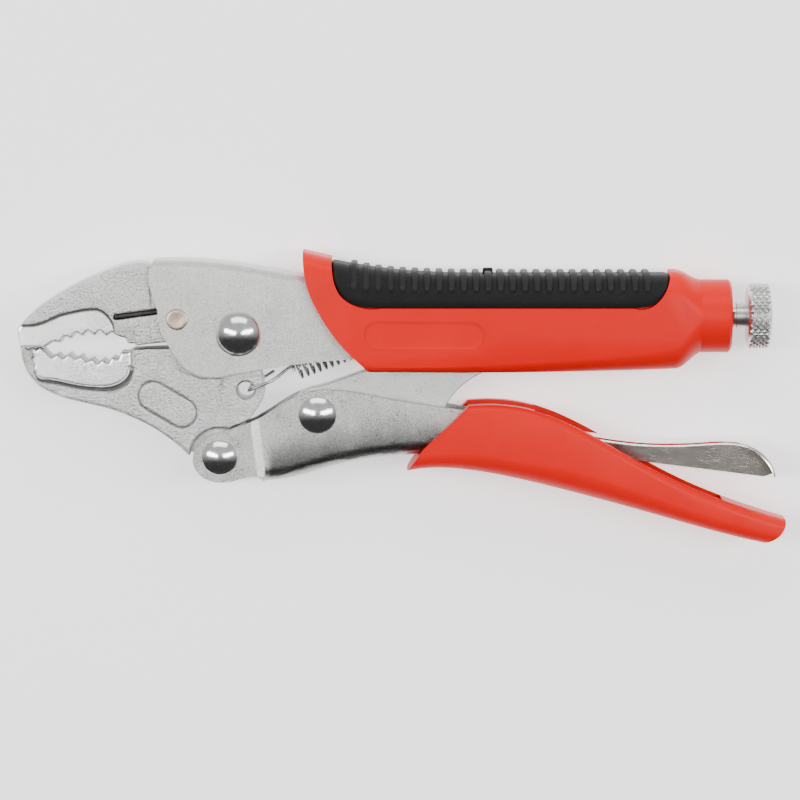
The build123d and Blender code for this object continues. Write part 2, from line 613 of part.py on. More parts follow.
def lower_grip_body(inset=0.0):
    """Whole lower grip before it is hollowed."""
    half = GRIP_HALF
    stations = [
        (50.0, -23.0, -46.6, half - 1.0, 2.0, 5.5),
        (76.0, -23.2, -44.8, half - 0.2, 2.4, 6.0),
        (100.0, -26.2, -49.9, half + 0.1, 3.0, 8.0),
        (125.0, -38.8, -56.6, half - 1.1, 2.6, 7.4),
        (150.0, -51.6, -63.7, half - 2.9, 2.6, 5.4),
        (166.0, -57.5, -67.9, half - 4.1, 3.0, 4.6),
        (181.0, -62.0, -70.8, half - 5.6, 3.0, 4.0),
    ]
    faces = [section(back(x), *rest, inset) for x, *rest in stations]
    return loft(faces) & Box(600, 400, 2 * (GRIP_HALF - inset))


def make_lower_grip():
    front = Polyline((52.0, -47.5), (54, -46), (60, -37.5), (68, -30), (76, -22.0))
    rear_x = back(178.3)
    side = region(
        front,
        Polyline((76, -22.0), (rear_x - 18, -22.0), (rear_x, -61.4)),
        Spline((rear_x, -61.4), (rear_x - 1.2, -65.4), (rear_x - 4.5, -68.2), (rear_x - 9, -69.4)),
        Polyline((rear_x - 9, -69.4), (rear_x - 40, -70), (52.0, -47.5)),
    )
    grip = lower_grip_body() & slab(side, OUTER * 2)
    end = back(LOWER_CHANNEL_END) + SEAT_GAP
    room = region(
        lower_rim(),
        Polyline((98, -29.4), (end, -43 + SEAT_GAP), (end, -51.2)),
        Spline([(end, -51.2), (100, -43.65), (75, -40.05), (52, -40.15), (30, -44)]),
        Polyline((30, -44), (0, -50), (0, -30.3)),
    )
    grip -= slab(room, OUTER + SEAT_GAP)
    grip -= slab(room, INNER) + Pos(60, -10) * Box(100, 55, 2 * INNER)
    trough = lower_grip_body(TROUGH_WALL)
    window = region(
        Polyline((LIP_END, -29.5), (LIP_END, 0), (back(TROUGH_END), 0), (back(TROUGH_END), -61.5)),
        Polyline((back(TROUGH_END), -61.5), (end, -50.9), (end, -43), (98, -29.4), (LIP_END, -29.5)),
    )
    for lift in (0.0, TROUGH_LIFT):
        grip -= Pos(0, lift) * trough & slab(window, OUTER * 2)
    return grip


# ---------- the whole tool ----------

def build():
    """Every piece by its node's name, about the main pivot."""
    return {
        "upper_channel": make_upper_channel(),
        "upper_jaw": make_upper_jaw(),
        "jaw_pin": disc(JAW_PIN_PLACE, JAW_PIN_R, OUTER + JAW_PIN_RISE),
        "main_rivet": rivet(JAW_PIVOT, MAIN_RIVET, OUTER),
        "upper_grip_shell": make_upper_grip_shell(),
        "upper_grip_pad": make_upper_grip_pad(),
        "end_nut": make_end_nut(),
        "spring_anchor_pin": disc(ANCHOR_PLACE, ANCHOR_PIN_R, OUTER),
        "tension_spring": make_tension_spring(),
        "lower_jaw": make_lower_jaw(),
        "jaw_handle_rivet": rivet(EAR_PIVOT, EAR_RIVET, EAR_OUTER),
        "lower_channel": make_lower_channel(),
        "lower_grip": make_lower_grip(),
        "link_rivet": rivet(LINK_PIVOT, LINK_RIVET, OUTER),
        "lever_pin": disc(LEVER_PIVOT, LEVER_PIN_R, OUTER),
        "toggle_link": make_toggle_link(),
        "release_lever": make_release_lever(),
        "adjusting_screw": make_adjusting_screw(),
        "adjusting_knob": make_adjusting_knob(),
    }


def bottom_centre(pieces):
    """Middle of the tool's length and breadth, at its lowest point."""
    boxes = [piece.bounding_box() for piece in pieces]
    low_x, high_x = min(box.min.X for box in boxes), max(box.max.X for box in boxes)
    low_y, high_y = min(box.min.Y for box in boxes), max(box.max.Y for box in boxes)
    return Vector((low_x + high_x) / 2, (low_y + high_y) / 2, min(box.min.Z for box in boxes))


PIECES = build()
ORIGIN = bottom_centre(PIECES.values())
os.makedirs("parts", exist_ok=True)
for name, piece in PIECES.items():
    export_step(Pos(*(ORIGIN * -1)) * piece, f"parts/{name}.step")
print("origin", ORIGIN)
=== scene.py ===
"""Looks of the locking pliers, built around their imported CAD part."""

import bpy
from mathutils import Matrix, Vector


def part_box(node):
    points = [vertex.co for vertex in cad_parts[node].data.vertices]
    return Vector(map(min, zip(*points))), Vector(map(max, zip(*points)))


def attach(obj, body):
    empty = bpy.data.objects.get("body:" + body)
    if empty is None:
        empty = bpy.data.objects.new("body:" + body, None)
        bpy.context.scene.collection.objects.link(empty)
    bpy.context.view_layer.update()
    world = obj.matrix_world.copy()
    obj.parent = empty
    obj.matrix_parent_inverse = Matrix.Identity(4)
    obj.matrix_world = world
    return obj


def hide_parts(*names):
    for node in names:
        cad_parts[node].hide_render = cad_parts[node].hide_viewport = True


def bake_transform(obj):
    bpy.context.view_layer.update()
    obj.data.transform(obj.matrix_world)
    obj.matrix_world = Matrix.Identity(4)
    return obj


bl_info = {
    "name": "Locking Pliers",
    "version": (1, 0, 0),
    "blender": (4, 5, 0),
    "location": "3D View > Sidebar > Pliers",
    "description": "Builds a pair of locking pliers, their finishes and a small studio",
    "category": "Object",
}

import math

import bmesh
import bpy
from bpy.props import FloatProperty, FloatVectorProperty, IntProperty, PointerProperty
from mathutils import Matrix, Vector, noise

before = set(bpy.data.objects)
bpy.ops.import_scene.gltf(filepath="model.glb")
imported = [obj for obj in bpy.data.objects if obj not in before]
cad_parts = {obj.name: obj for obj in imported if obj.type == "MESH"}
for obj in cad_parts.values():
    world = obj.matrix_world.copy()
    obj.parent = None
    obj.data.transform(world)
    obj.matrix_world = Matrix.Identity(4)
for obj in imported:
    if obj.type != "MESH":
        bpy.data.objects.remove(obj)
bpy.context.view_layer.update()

MM = 0.001
PIVOT = sum(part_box("main_rivet"), Vector()) / 2

# Sizes shared with the CAD part, in millimetres about the main pivot
CHANNEL_HALF = 8.5
EAR_HALF = 6.7
GRIP_HALF = 12.3
SCREW_AXIS = 5.1
FLAT_HALF = 5.8
JAW_FRONT = -33.0         # the ground flats lie in front of this
TANG_FRONT, TANG_LOW = -24.0, -12.0       # the upper jaw lies in its channel behind and above these

# Lower channel: the foot of its rounded belly, and the line of its front bend, which place its painted dark
# reflection and painted highlight
BELLY_X, BELLY_Y, BELLY_CURVE = 63.0, -40.0, 0.0028
BEND_X, BEND_Y, BEND_LEAN = 5.4, -31.0, 0.13

LEVER_EDGE = 0.2

# Adjusting screw and knob
CORE_R = 4.1
THREAD_R, THREAD_SECTION = 4.14, 0.61
THREAD_END = 161.7
KNOB_R, KNOB_BORE, KNOB_BORE_DEPTH = 10.1, 4.3, 5.5
KNURL_R = 10.02
KNURL_ROWS = 6

# Tension spring, from the moving jaw to its anchor pin
SPRING_START, SPRING_ANCHOR = Vector((18.0, -12.6, 0.0)), Vector((63.0, 4.2, 0.0))
SPRING_PITCH, SPRING_MEAN = 2.1, 3.2
HOOK_SIDE = 7.05          # from the mid-plane to the front hook's two sides
HOOK_REACH = 2.17         # from the anchor pin's axis to the wire's middle

# Studio, in metres
FLOOR_HALF, FLOOR_LEVEL = 3.0, -0.0004
LAMPS = (                 # name, sides, watts, spot
    ("left box", (0.30, 1.2), 15.0, (-0.80, 0.16, 1.16)),
    ("right box", (0.30, 1.2), 13.5, (0.80, 0.16, 1.16)),
    ("top box", (1.4, 0.5), 7.0, (0.0, 1.15, 0.80)),
)
VIEW_DISTANCE, VIEW_TILT, VIEW_WIDTH = 1.3, 6.5, 0.2594


def place(x, y, z=0.0):
    """Point of the row frame from millimetres about the main pivot."""
    return PIVOT + Vector((x, y, z)) * MM


# ---------- sizes and colours ----------

class PliersSizes(bpy.types.PropertyGroup):
    """Sizes of the details that the CAD part leaves out."""

    forging_grain: FloatProperty(
        name="Forging grain", description="Cell of the mesh that the forged jaws are rebuilt in",
        default=0.00034, min=0.0002, unit="LENGTH")
    forging_wave: FloatProperty(
        name="Forging wave", description="Height of the uneven forged skin",
        default=0.000042, min=0.0, unit="LENGTH")
    sheet_edge: FloatProperty(
        name="Sheet edge", description="Worn edge of the pressed sheets",
        default=0.00032, min=0.0, unit="LENGTH")
    grip_edge: FloatProperty(
        name="Grip edge", description="Rounded edge of the moulded grips",
        default=0.0007, min=0.0, unit="LENGTH")
    rib_count: IntProperty(name="Ribs", description="Ribs across the soft pad", default=25, min=1)
    rib_pitch: FloatProperty(
        name="Rib pitch", description="Distance between two ribs", default=0.00395, unit="LENGTH")
    rib_width: FloatProperty(
        name="Rib width", description="Width of a rib at its foot", default=0.0023, unit="LENGTH")
    thread_pitch: FloatProperty(
        name="Thread pitch", description="Pitch of the adjusting screw", default=0.0015875, unit="LENGTH")
    knurl_columns: IntProperty(
        name="Knurl columns", description="Diamonds round the knob", default=29, min=3)
    knurl_step: FloatProperty(
        name="Knurl step", description="Half a diamond along the knob", default=0.00098, unit="LENGTH")
    spring_turns: IntProperty(name="Spring turns", description="Turns of the tension spring", default=16)
    wire_radius: FloatProperty(
        name="Wire radius", description="Radius of the spring's wire", default=0.00052, unit="LENGTH")


def colour(name, description, value):
    return FloatVectorProperty(name=name, description=description, default=value,
                               subtype="COLOR", size=3, min=0.0, max=1.0)


class PliersColours(bpy.types.PropertyGroup):
    """Base colours of the finishes."""

    nickel: colour("Nickel", "Satin plate of the channels and the link", (0.52, 0.52, 0.505))
    forging: colour("Forging", "Plate of the forged jaws", (0.52, 0.52, 0.51))
    ground: colour("Ground flat", "Brushed flats of the jaws", (0.86, 0.86, 0.85))
    polish: colour("Polish", "Rivet heads", (0.74, 0.74, 0.735))
    tan: colour("Tan pin", "Worn pin in the upper channel", (0.55, 0.42, 0.34))
    red: colour("Red", "Moulded grips", (0.72, 0.003, 0.002))
    rubber: colour("Rubber", "Soft pad", (0.0075, 0.0075, 0.008))
    lever: colour("Lever", "Polished nickel of the release lever", (0.76, 0.75, 0.72))
    steel: colour("Steel", "Screw, knob and nut", (0.62, 0.62, 0.61))
    wire: colour("Wire", "Drawn spring wire", (0.42, 0.42, 0.42))


def sizes():
    return bpy.context.scene.pliers_sizes


def colours():
    return bpy.context.scene.pliers_colours


# ---------- node trees ----------

class Value:
    """Output socket of a node, with arithmetic that adds math nodes."""

    def __init__(self, tree, socket):
        self.tree = tree
        self.socket = socket

    def math(self, operation, *others):
        inputs = dict(enumerate((self, *others)))
        return self.tree.add("ShaderNodeMath", {"operation": operation}, inputs)

    def of(self, name):
        """Another output of the same node."""
        return Value(self.tree, self.socket.node.outputs[name])

    def step(self, low, high, to_low=0.0, to_high=1.0):
        """Smooth step from one number to another between two values of the input."""
        inputs = {"Value": self, "From Min": low, "From Max": high, "To Min": to_low, "To Max": to_high}
        return self.tree.add("ShaderNodeMapRange", {"interpolation_type": "SMOOTHSTEP"}, inputs)

    def band(self, low, full, fading, high):
        """1 from full to fading, and 0 below low and above high."""
        return self.step(low, full) * self.step(fading, high, 1.0, 0.0)

    def __add__(self, other):
        return self.math("ADD", other)

    def __radd__(self, other):
        return self.math("ADD", other)

    def __sub__(self, other):
        return self.math("SUBTRACT", other)

    def __rsub__(self, other):
        return (self * -1.0).math("ADD", other)

    def __mul__(self, other):
        return self.math("MULTIPLY", other)

    def __rmul__(self, other):
        return self.math("MULTIPLY", other)

    def __truediv__(self, other):
        return self.math("DIVIDE", other)

    def __rtruediv__(self, other):
        return self.math("POWER", -1.0) * other

    def __mod__(self, other):
        return self.math("MODULO", other)

    def __abs__(self):
        return self.math("ABSOLUTE")


class Tree:
    """A node tree, with one call that adds any node."""

    def __init__(self, nodes_of):
        self.tree = nodes_of

    def add(self, kind, settings=None, inputs=None, output=0):
        node = self.tree.nodes.new(kind)
        for key, value in (settings or {}).items():
            setattr(node, key, value)
        for key, value in (inputs or {}).items():
            if isinstance(value, Value):
                self.tree.links.new(value.socket, node.inputs[key])
            else:
                node.inputs[key].default_value = value
        return Value(self, node.outputs[output]) if len(node.outputs) else node


class Finish(Tree):
    """A material under way. Lengths in its textures are millimetres."""

    def __init__(self, name):
        self.material = bpy.data.materials.new(name)
        self.material.use_nodes = True
        self.material.node_tree.nodes.clear()
        super().__init__(self.material.node_tree)
        metres = self.add("ShaderNodeTexCoord", output="Object")
        from_pivot = self.add("ShaderNodeVectorMath", {"operation": "SUBTRACT"}, {0: metres, 1: PIVOT})
        scaled = {0: from_pivot, "Scale": 1 / MM}
        self.point = self.add("ShaderNodeVectorMath", {"operation": "SCALE"}, scaled)
        self.x = self.add("ShaderNodeSeparateXYZ", inputs={0: self.point}, output="X")
        self.y = self.x.of("Y")
        self.z = self.x.of("Z")

    def stretched(self, x, y, z):
        """The point with each axis scaled, for lines and brush marks."""
        return self.add("ShaderNodeVectorMath", {"operation": "MULTIPLY"}, {0: self.point, 1: (x, y, z)})

    def turned(self, degrees):
        """The point turned about Z."""
        inputs = {"Vector": self.point, "Angle": math.radians(degrees)}
        return self.add("ShaderNodeVectorRotate", {"rotation_type": "Z_AXIS"}, inputs)

    def noise(self, scale, detail=3.0, point=None, distortion=0.0):
        inputs = {"Vector": point or self.point, "Scale": scale, "Detail": detail, "Distortion": distortion}
        return self.add("ShaderNodeTexNoise", {}, inputs)

    def cells(self, scale):
        return self.add("ShaderNodeTexVoronoi", {"feature": "F1"}, {"Vector": self.point, "Scale": scale})

    def mix(self, factor, first, second):
        """Blend of two colours."""
        first, second = (c if isinstance(c, Value) else (*c, 1.0) for c in (first, second))
        return self.add("ShaderNodeMix", {"data_type": "RGBA"}, {0: factor, 6: first, 7: second}, 2)

    def shade(self, base, factor):
        """A colour made lighter or darker by a number."""
        grey = self.add("ShaderNodeCombineColor", {}, {0: factor, 1: factor, 2: factor})
        settings = {"data_type": "RGBA", "blend_type": "MULTIPLY"}
        base = base if isinstance(base, Value) else (*base, 1.0)
        return self.add("ShaderNodeMix", settings, {0: 1.0, 6: base, 7: grey}, 2)

    def scratches(self, turns=(17.0, 68.0, 121.0, 158.0)):
        """Sparse fine scratches that run several ways, 1 on a scratch."""
        total = None
        for degrees in turns:
            line = self.add("ShaderNodeVectorMath", {"operation": "MULTIPLY"},
                            {0: self.turned(degrees), 1: (0.10, 3.4, 0.4)})
            mark = self.noise(1.0, 2.0, line).step(0.655, 0.70)
            total = mark if total is None else total.math("MAXIMUM", mark)
        return total * self.noise(0.16, 2.0).step(0.42, 0.60)

    def bump(self, height, depth, strength=1.0, normal=None):
        """Normal from a height that varies from 0 to 1 over a depth in millimetres."""
        inputs = {"Height": height, "Distance": depth * MM, "Strength": strength}
        if normal is not None:
            inputs["Normal"] = normal
        return self.add("ShaderNodeBump", {}, inputs)

    def done(self, base, roughness, metallic=1.0, normal=None, specular=0.5, glow=0.0):
        """Ends the tree with one shader and returns the material."""
        inputs = {"Base Color": base, "Roughness": roughness, "Metallic": metallic,
                  "Specular IOR Level": specular, "Emission Strength": glow}
        if normal is not None:
            inputs["Normal"] = normal
        surface = self.add("ShaderNodeBsdfPrincipled", {}, inputs)
        self.add("ShaderNodeOutputMaterial", {}, {"Surface": surface})
        return self.material


def satin_plate(name, base, speckle=0.30, gloss=0.33, belly=0.0):
    """Nickel over pressed sheet: fine light and dark speckle, faint wear, a few scratches.
    With a belly, a painted dark reflection darkens the plate toward the lower channel's rounded underside,
    and a painted highlight brightens it along its front bend."""
    f = Finish(name)
    grain = f.noise(2.3, 3.0)
    fine = f.noise(6.5, 2.0)
    cloud = f.noise(0.12, 3.0)
    scratch = f.scratches()
    tone = 1.0 + (grain - 0.5) * speckle * 4.0 + (fine - 0.5) * speckle * 2.6 + (cloud - 0.5) * 0.35
    stain = f.noise(0.35, 5.0, distortion=0.6).step(0.62, 0.74) * 0.16
    tone = tone - stain + scratch * 0.22
    if belly:
        from_middle = f.x - BELLY_X
        above = f.y - BELLY_Y + from_middle * from_middle * BELLY_CURVE + (cloud - 0.5) * 5.0
        # painted dark reflection over the rounded belly, up to 15 mm above its foot
        shadow = above.band(0.8, 1.8, 2.5, 15.0) * f.x.step(8.5, 11.0)
        tone = (tone - 0.16) * (1.0 - shadow * belly)
        # painted highlight in a strip along the front bend
        off_bend = abs(f.x - BEND_X + (f.y - BEND_Y) * BEND_LEAN)
        shine = off_bend.step(0.9, 1.9, 1.0, 0.0) * f.y.band(-47.5, -46.0, -28.5, -27.0)
        tone = tone * (1.0 + shine * 0.75)
    roughness = gloss + (grain - 0.5) * 0.18 + (cloud - 0.5) * 0.12 + scratch * 0.1
    normal = f.bump(grain + fine * 0.6, 0.13)
    normal = f.bump(1.0 - scratch, 0.03, 0.7, normal)
    return f.done(f.shade(base, tone), roughness, 1.0, normal)


def forged_plate(name, base, ground):
    """Plated forging, with brushed ground flats, and painted shade in the grooves beside them, in the
    plaque's ring groove, in the slots and on the teeth between the jaws.
    """
    f = Finish(name)
    depth = abs(f.z)
    front = f.x.step(JAW_FRONT - 0.6, JAW_FRONT, 1.0, 0.0)
    on_flat = depth.band(FLAT_HALF - 0.16, FLAT_HALF - 0.05, FLAT_HALF + 0.05, FLAT_HALF + 0.16)
    flat = on_flat * front
    # groove and ring: recesses beside the flats and round the plaque, where shade is painted
    groove = depth.band(4.7, 4.9, FLAT_HALF - 0.28, FLAT_HALF - 0.12) * front
    groove = groove * f.y.step(-12.5, -11.5, 1.0, 0.0)
    ring = depth.band(6.2, 6.3, 6.5, 6.66) * f.x.band(-37.0, -36.0, -11.0, -10.0)
    ring = ring * f.y.band(-36.0, -34.5, -15.2, -14.4)
    pits = f.noise(1.5, 5.0)
    grain = f.noise(4.2, 3.0)
    cells = f.cells(1.1)
    cloud = f.noise(0.14, 3.0)
    brushed = f.noise(1.0, 3.0, f.stretched(0.25, 9.0, 1.0))
    fine_brush = f.noise(1.0, 2.0, f.stretched(0.9, 26.0, 1.0))
    scratch = f.scratches((4.0, 40.0, 95.0))
    skin = 1.0 + (pits - 0.5) * 1.3 + (grain - 0.5) * 1.0 + (cloud - 0.5) * 0.35 + scratch * 0.15
    skin = skin * 1.12 - pits.step(0.60, 0.74) * 0.4
    polish = 1.0 + (brushed - 0.5) * 0.30 + (fine_brush - 0.5) * 0.24 + (cloud - 0.5) * 0.2 - scratch * 0.12
    # tooth: the toothed strip between the jaws, where brownish shade is painted
    tooth = f.y.band(-11.0, -8.5, 0.6, 3.0) * front * (1.0 - on_flat)
    colour_now = f.mix(flat, f.shade(base, skin), f.shade(ground, polish))
    # slot and gap: the cutter slot and the gap between the jaws, where shade is painted
    slot = f.x.step(-41.5, -40.5) * f.y.band(3.4, 3.9, 8.0, 8.5)
    gap = f.x.step(-34.4, -33.8) * f.y.band(-5.6, -5.2, -2.9, -2.4)
    painted_slot_shade = (slot + gap).math("MINIMUM", 1.0) * depth.step(6.0, 6.35, 1.0, 0.0)
    painted_slot_shade = painted_slot_shade * f.x.step(-22.0, -20.0, 1.0, 0.0)
    # painted shade, near black, in the grooves and the plaque's ring
    colour_now = f.mix((groove + ring * 0.75).math("MINIMUM", 1.0) * 0.9, colour_now, (0.05, 0.05, 0.05))
    # painted shade in the cutter slot and the jaw gap
    colour_now = f.mix(painted_slot_shade * 0.9, colour_now, (0.05, 0.04, 0.035))
    # painted shade, brownish, on the teeth between the jaws
    colour_now = f.mix(tooth * 0.35, colour_now, (0.30, 0.27, 0.24))
    on_skin = 0.40 + (pits - 0.5) * 0.3
    on_ground = 0.25 + (brushed - 0.5) * 0.2
    roughness = on_skin * (1.0 - flat) + on_ground * flat + groove * 0.1
    skin_height = (pits + grain * 0.4 + cells * 0.25) * (1.0 - flat)
    normal = f.bump(skin_height, 0.34)
    normal = f.bump(fine_brush + brushed, 0.012, flat, normal)
    return f.done(colour_now, roughness, 1.0, normal)


def polished(name, base):
    """Rivet heads: polished domes with faint mottling and knocks."""
    f = Finish(name)
    wear = f.noise(0.6, 4.0)
    knocks = f.noise(1.3, 5.0).step(0.62, 0.74)
    grain = f.noise(5.0, 2.0)
    tone = 1.0 + (wear - 0.5) * 0.25 + (grain - 0.5) * 0.12 - knocks * 0.18
    roughness = 0.15 + (wear - 0.5) * 0.12 + knocks * 0.12
    normal = f.bump(wear + grain * 0.2, 0.03)
    return f.done(f.shade(base, tone), roughness, 1.0, normal)


def tan_steel(name, base):
    """Bare worn pin with a mottled pinkish tan."""
    f = Finish(name)
    mottle = f.noise(1.1, 5.0)
    grain = f.noise(5.5, 3.0)
    stain = f.noise(0.8, 3.0, distortion=1.2).step(0.52, 0.66)
    tone = 1.0 + (mottle - 0.5) * 0.7 + (grain - 0.5) * 0.3
    blended = f.mix(stain * 0.6, f.shade(base, tone), (0.40, 0.36, 0.33))
    normal = f.bump(mottle + grain * 0.4, 0.06)
    return f.done(blended, 0.36 + (mottle - 0.5) * 0.3, 0.9, normal)


def red_plastic(name, base):
    """Semi-gloss moulding with a fine texture, scuffs and paler handling marks."""
    f = Finish(name)
    cloud = f.noise(0.05, 3.0)
    peel = f.noise(1.9, 2.0)
    grit = f.noise(6.0, 3.0)
    scuff = f.scratches((12.0, 77.0, 140.0))
    worn = f.noise(0.5, 5.0, distortion=0.8).step(0.64, 0.76)
    tone = 1.0 + (cloud - 0.5) * 0.16 + (grit - 0.5) * 0.05
    paler = f.mix(scuff * 0.22 + worn * 0.06, f.shade(base, tone), (0.72, 0.05, 0.035))
    roughness = 0.36 + (peel - 0.5) * 0.08 + worn * 0.10 + scuff * 0.15
    normal = f.bump(peel, 0.010)
    normal = f.bump(grit, 0.006, 0.6, normal)
    normal = f.bump(1.0 - scuff, 0.015, 0.5, normal)
    return f.done(paler, roughness, 0.0, normal, 0.15)


def soft_rubber(name, base):
    """Dark moulded rubber with a painted soft highlight on the rib crests, and faint dust."""
    f = Finish(name)
    crest = f.add("ShaderNodeAttribute", {"attribute_name": "crest"}, output="Fac")
    cloud = f.noise(0.15, 4.0)
    grit = f.noise(3.2, 4.0)
    dust = f.noise(0.8, 5.0, distortion=0.5).step(0.55, 0.75)
    tone = 1.0 + (grit - 0.5) * 0.5 + (cloud - 0.5) * 0.5
    # painted highlight: the rib crests lightened toward grey; the dust mixed in below is real
    worn = f.mix(crest * (0.15 + cloud * 0.3), f.shade(base, tone), (0.030, 0.030, 0.031))
    worn = f.mix(dust * 0.05, worn, (0.10, 0.10, 0.095))
    roughness = 0.58 - crest * 0.10 + (grit - 0.5) * 0.2
    normal = f.bump(grit, 0.03)
    return f.done(worn, roughness, 0.0, normal, 0.16)


def lever_nickel(name, base):
    """Bright nickel, smooth on the web, with a painted brownish reflection inside the flanges."""
    f = Finish(name)
    wear = f.noise(0.4, 4.0, f.stretched(0.4, 1.0, 1.0))
    brushed = f.noise(1.0, 3.0, f.stretched(0.3, 5.0, 5.0))
    scratch = f.scratches((3.0, 20.0, 160.0))
    tone = 1.0 + (wear - 0.5) * 0.25 + (brushed - 0.5) * 0.12 + scratch * 0.1
    # painted reflection: the red grip in shade, seen in the flanges, painted as a dark brown
    inside = f.z.step(-3.6, -5.2) * f.y.step(-37.0, -38.5)
    with_flange_reflection = f.mix(inside * 0.55, f.shade(base, tone), (0.30, 0.21, 0.16))
    roughness = 0.17 + (wear - 0.5) * 0.14 + scratch * 0.12
    normal = f.bump(wear + brushed * 0.3, 0.02)
    return f.done(with_flange_reflection, roughness, 1.0, normal)


def machined_steel(name, base, gloss=0.28, dark=0.0):
    """Turned or rolled bright steel, darker in random oily patches."""
    f = Finish(name)
    rings = f.noise(1.0, 3.0, f.stretched(7.0, 0.5, 0.5))
    grain = f.noise(3.4, 4.0)
    oil = f.noise(0.5, 4.0, distortion=0.7).step(0.45, 0.70)
    tone = 1.0 + (rings - 0.5) * 0.3 + (grain - 0.5) * 0.3 - oil * (0.12 + dark)
    roughness = gloss + (grain - 0.5) * 0.15 + oil * 0.08
    normal = f.bump(rings * 0.6 + grain * 0.4, 0.02)
    return f.done(f.shade(base, tone), roughness, 1.0, normal)


def pale_floor(name):
    """Matt pale paper that glows a little, so that the shadows stay soft."""
    f = Finish(name)
    cloud = f.noise(0.004, 2.0)
    tone = 1.0 + (cloud - 0.5) * 0.02
    return f.done(f.shade((0.95, 0.95, 0.95), tone), 0.7, metallic=0.0, specular=0.2, glow=0.9)


# ---------- meshes ----------

def drop_layers(mesh):
    """Removes stored normals and UV maps, which no longer fit a changed mesh."""
    stored = mesh.attributes.get("custom_normal")
    if stored is not None:
        mesh.attributes.remove(stored)
    while mesh.uv_layers:
        mesh.uv_layers.remove(mesh.uv_layers[0])


def new_object(name, mesh, material, sharp=35.0):
    """Object of a mesh at the origin, shaded smooth up to an angle."""
    mesh.materials.clear()
    mesh.materials.append(material)
    mesh.polygons.foreach_set("use_smooth", [True] * len(mesh.polygons))
    mesh.polygons.foreach_set("material_index", [0] * len(mesh.polygons))
    if sharp:
        mesh.set_sharp_from_angle(angle=math.radians(sharp))
    mesh.update()
    obj = bpy.data.objects.new(name, mesh)
    bpy.context.scene.collection.objects.link(obj)
    return obj


def mesh_of(name, points, faces):
    mesh = bpy.data.meshes.new(name)
    mesh.from_pydata([tuple(p) for p in points], [], faces)
    closed_outward(mesh)
    return mesh


def closed_outward(mesh):
    """Merges points that coincide and turns every face outward."""
    bm = bmesh.new()
    bm.from_mesh(mesh)
    bmesh.ops.remove_doubles(bm, verts=bm.verts, dist=1e-6)
    bmesh.ops.recalc_face_normals(bm, faces=bm.faces)
    bm.to_mesh(mesh)
    bm.free()


def cad_copy(node, name, flatten=0.0):
    """Merged copy of a CAD node's mesh, its flat faces joined up to an angle in degrees."""
    bm = bmesh.new()
    bm.from_mesh(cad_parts[node].data)
    bmesh.ops.remove_doubles(bm, verts=bm.verts, dist=2e-6)
    if flatten:
        bmesh.ops.dissolve_limit(bm, angle_limit=math.radians(flatten), verts=bm.verts, edges=bm.edges,
                                 use_dissolve_boundaries=False)
    bmesh.ops.recalc_face_normals(bm, faces=bm.faces)
    mesh = bpy.data.meshes.new(name)
    bm.to_mesh(mesh)
    bm.free()
    drop_layers(mesh)
    return mesh


def baked(obj):
    """Replaces an object's mesh with its evaluated one and removes the modifiers."""
    bpy.context.view_layer.update()
    seen = obj.evaluated_get(bpy.context.evaluated_depsgraph_get())
    mesh = bpy.data.meshes.new_from_object(seen)
    mesh.name = obj.name
    obj.modifiers.clear()
    obj.data = mesh
    return obj


def bevelled(obj, width, angle=32.0, segments=3):
    """Rounds an object's edges that are sharper than an angle."""
    bevel = obj.modifiers.new("Edges", "BEVEL")
    bevel.width = width
    bevel.segments = segments
    bevel.limit_method = "ANGLE"
    bevel.angle_limit = math.radians(angle)
    bevel.harden_normals = True
    return baked(obj)


def joined(name, *meshes):
    """One mesh of several."""
    bm = bmesh.new()
    for mesh in meshes:
        bm.from_mesh(mesh)
    whole = bpy.data.meshes.new(name)
    bm.to_mesh(whole)
    bm.free()
    return whole


def lathe(name, profile, centre, axis="Z", segments=72):
    """Solid turned about an axis from points of (radius, distance along the axis), in millimetres."""
    points, rings, faces = [], [], []
    for radius, along in profile:
        if radius < 1e-6:
            rings.append([len(points)])
            points.append((0.0, 0.0, along))
            continue
        rings.append(list(range(len(points), len(points) + segments)))
        for step in range(segments):
            angle = 2 * math.pi * step / segments
            points.append((radius * math.cos(angle), radius * math.sin(angle), along))
    for low, high in zip(rings, rings[1:]):
        for step in range(segments):
            after = (step + 1) % segments
            if len(low) == 1:
                faces.append((low[0], high[after], high[step]))
            elif len(high) == 1:
                faces.append((low[step], low[after], high[0]))
            else:
                faces.append((low[step], low[after], high[after], high[step]))
    turn = Matrix.Identity(3) if axis == "Z" else Matrix(((0, 0, 1), (0, 1, 0), (-1, 0, 0)))
    return mesh_of(name, [centre + turn @ Vector(p) * MM for p in points], faces)


def smooth_path(points, steps=8):
    """Curve through points, cut into short pieces."""
    ends = [points[0] * 2 - points[1], *points, points[-1] * 2 - points[-2]]
    path = []
    for before, start, end, after in zip(ends, ends[1:], ends[2:], ends[3:]):
        for step in range(steps):
            t = step / steps
            square = (2 * before - 5 * start + 4 * end - after) * t ** 2
            cube = (3 * start - before - 3 * end + after) * t ** 3
            path.append(0.5 * (2 * start + (end - before) * t + square + cube))
    return path + [points[-1]]


def tube(name, path, radius, sides=10):
    """Closed round wire along a path, in metres."""
    points, faces = [], []
    direction = (path[1] - path[0]).normalized()
    side = direction.orthogonal().normalized()
    for index, centre in enumerate(path):
        ahead = path[min(index + 1, len(path) - 1)] - path[max(index - 1, 0)]
        side = (side - ahead.normalized() * side.dot(ahead.normalized())).normalized()
        other = ahead.normalized().cross(side)
        for step in range(sides):
            angle = 2 * math.pi * step / sides
            points.append(centre + (side * math.cos(angle) + other * math.sin(angle)) * radius)
    for ring in range(len(path) - 1):
        for step in range(sides):
            after = (step + 1) % sides
            low, high = ring * sides, (ring + 1) * sides
            faces.append((low + step, low + after, high + after, high + step))
    last = (len(path) - 1) * sides
    faces.append(tuple(reversed(range(sides))))
    faces.append(tuple(range(last, last + sides)))
    return mesh_of(name, points, faces)


# ---------- geometry nodes ----------

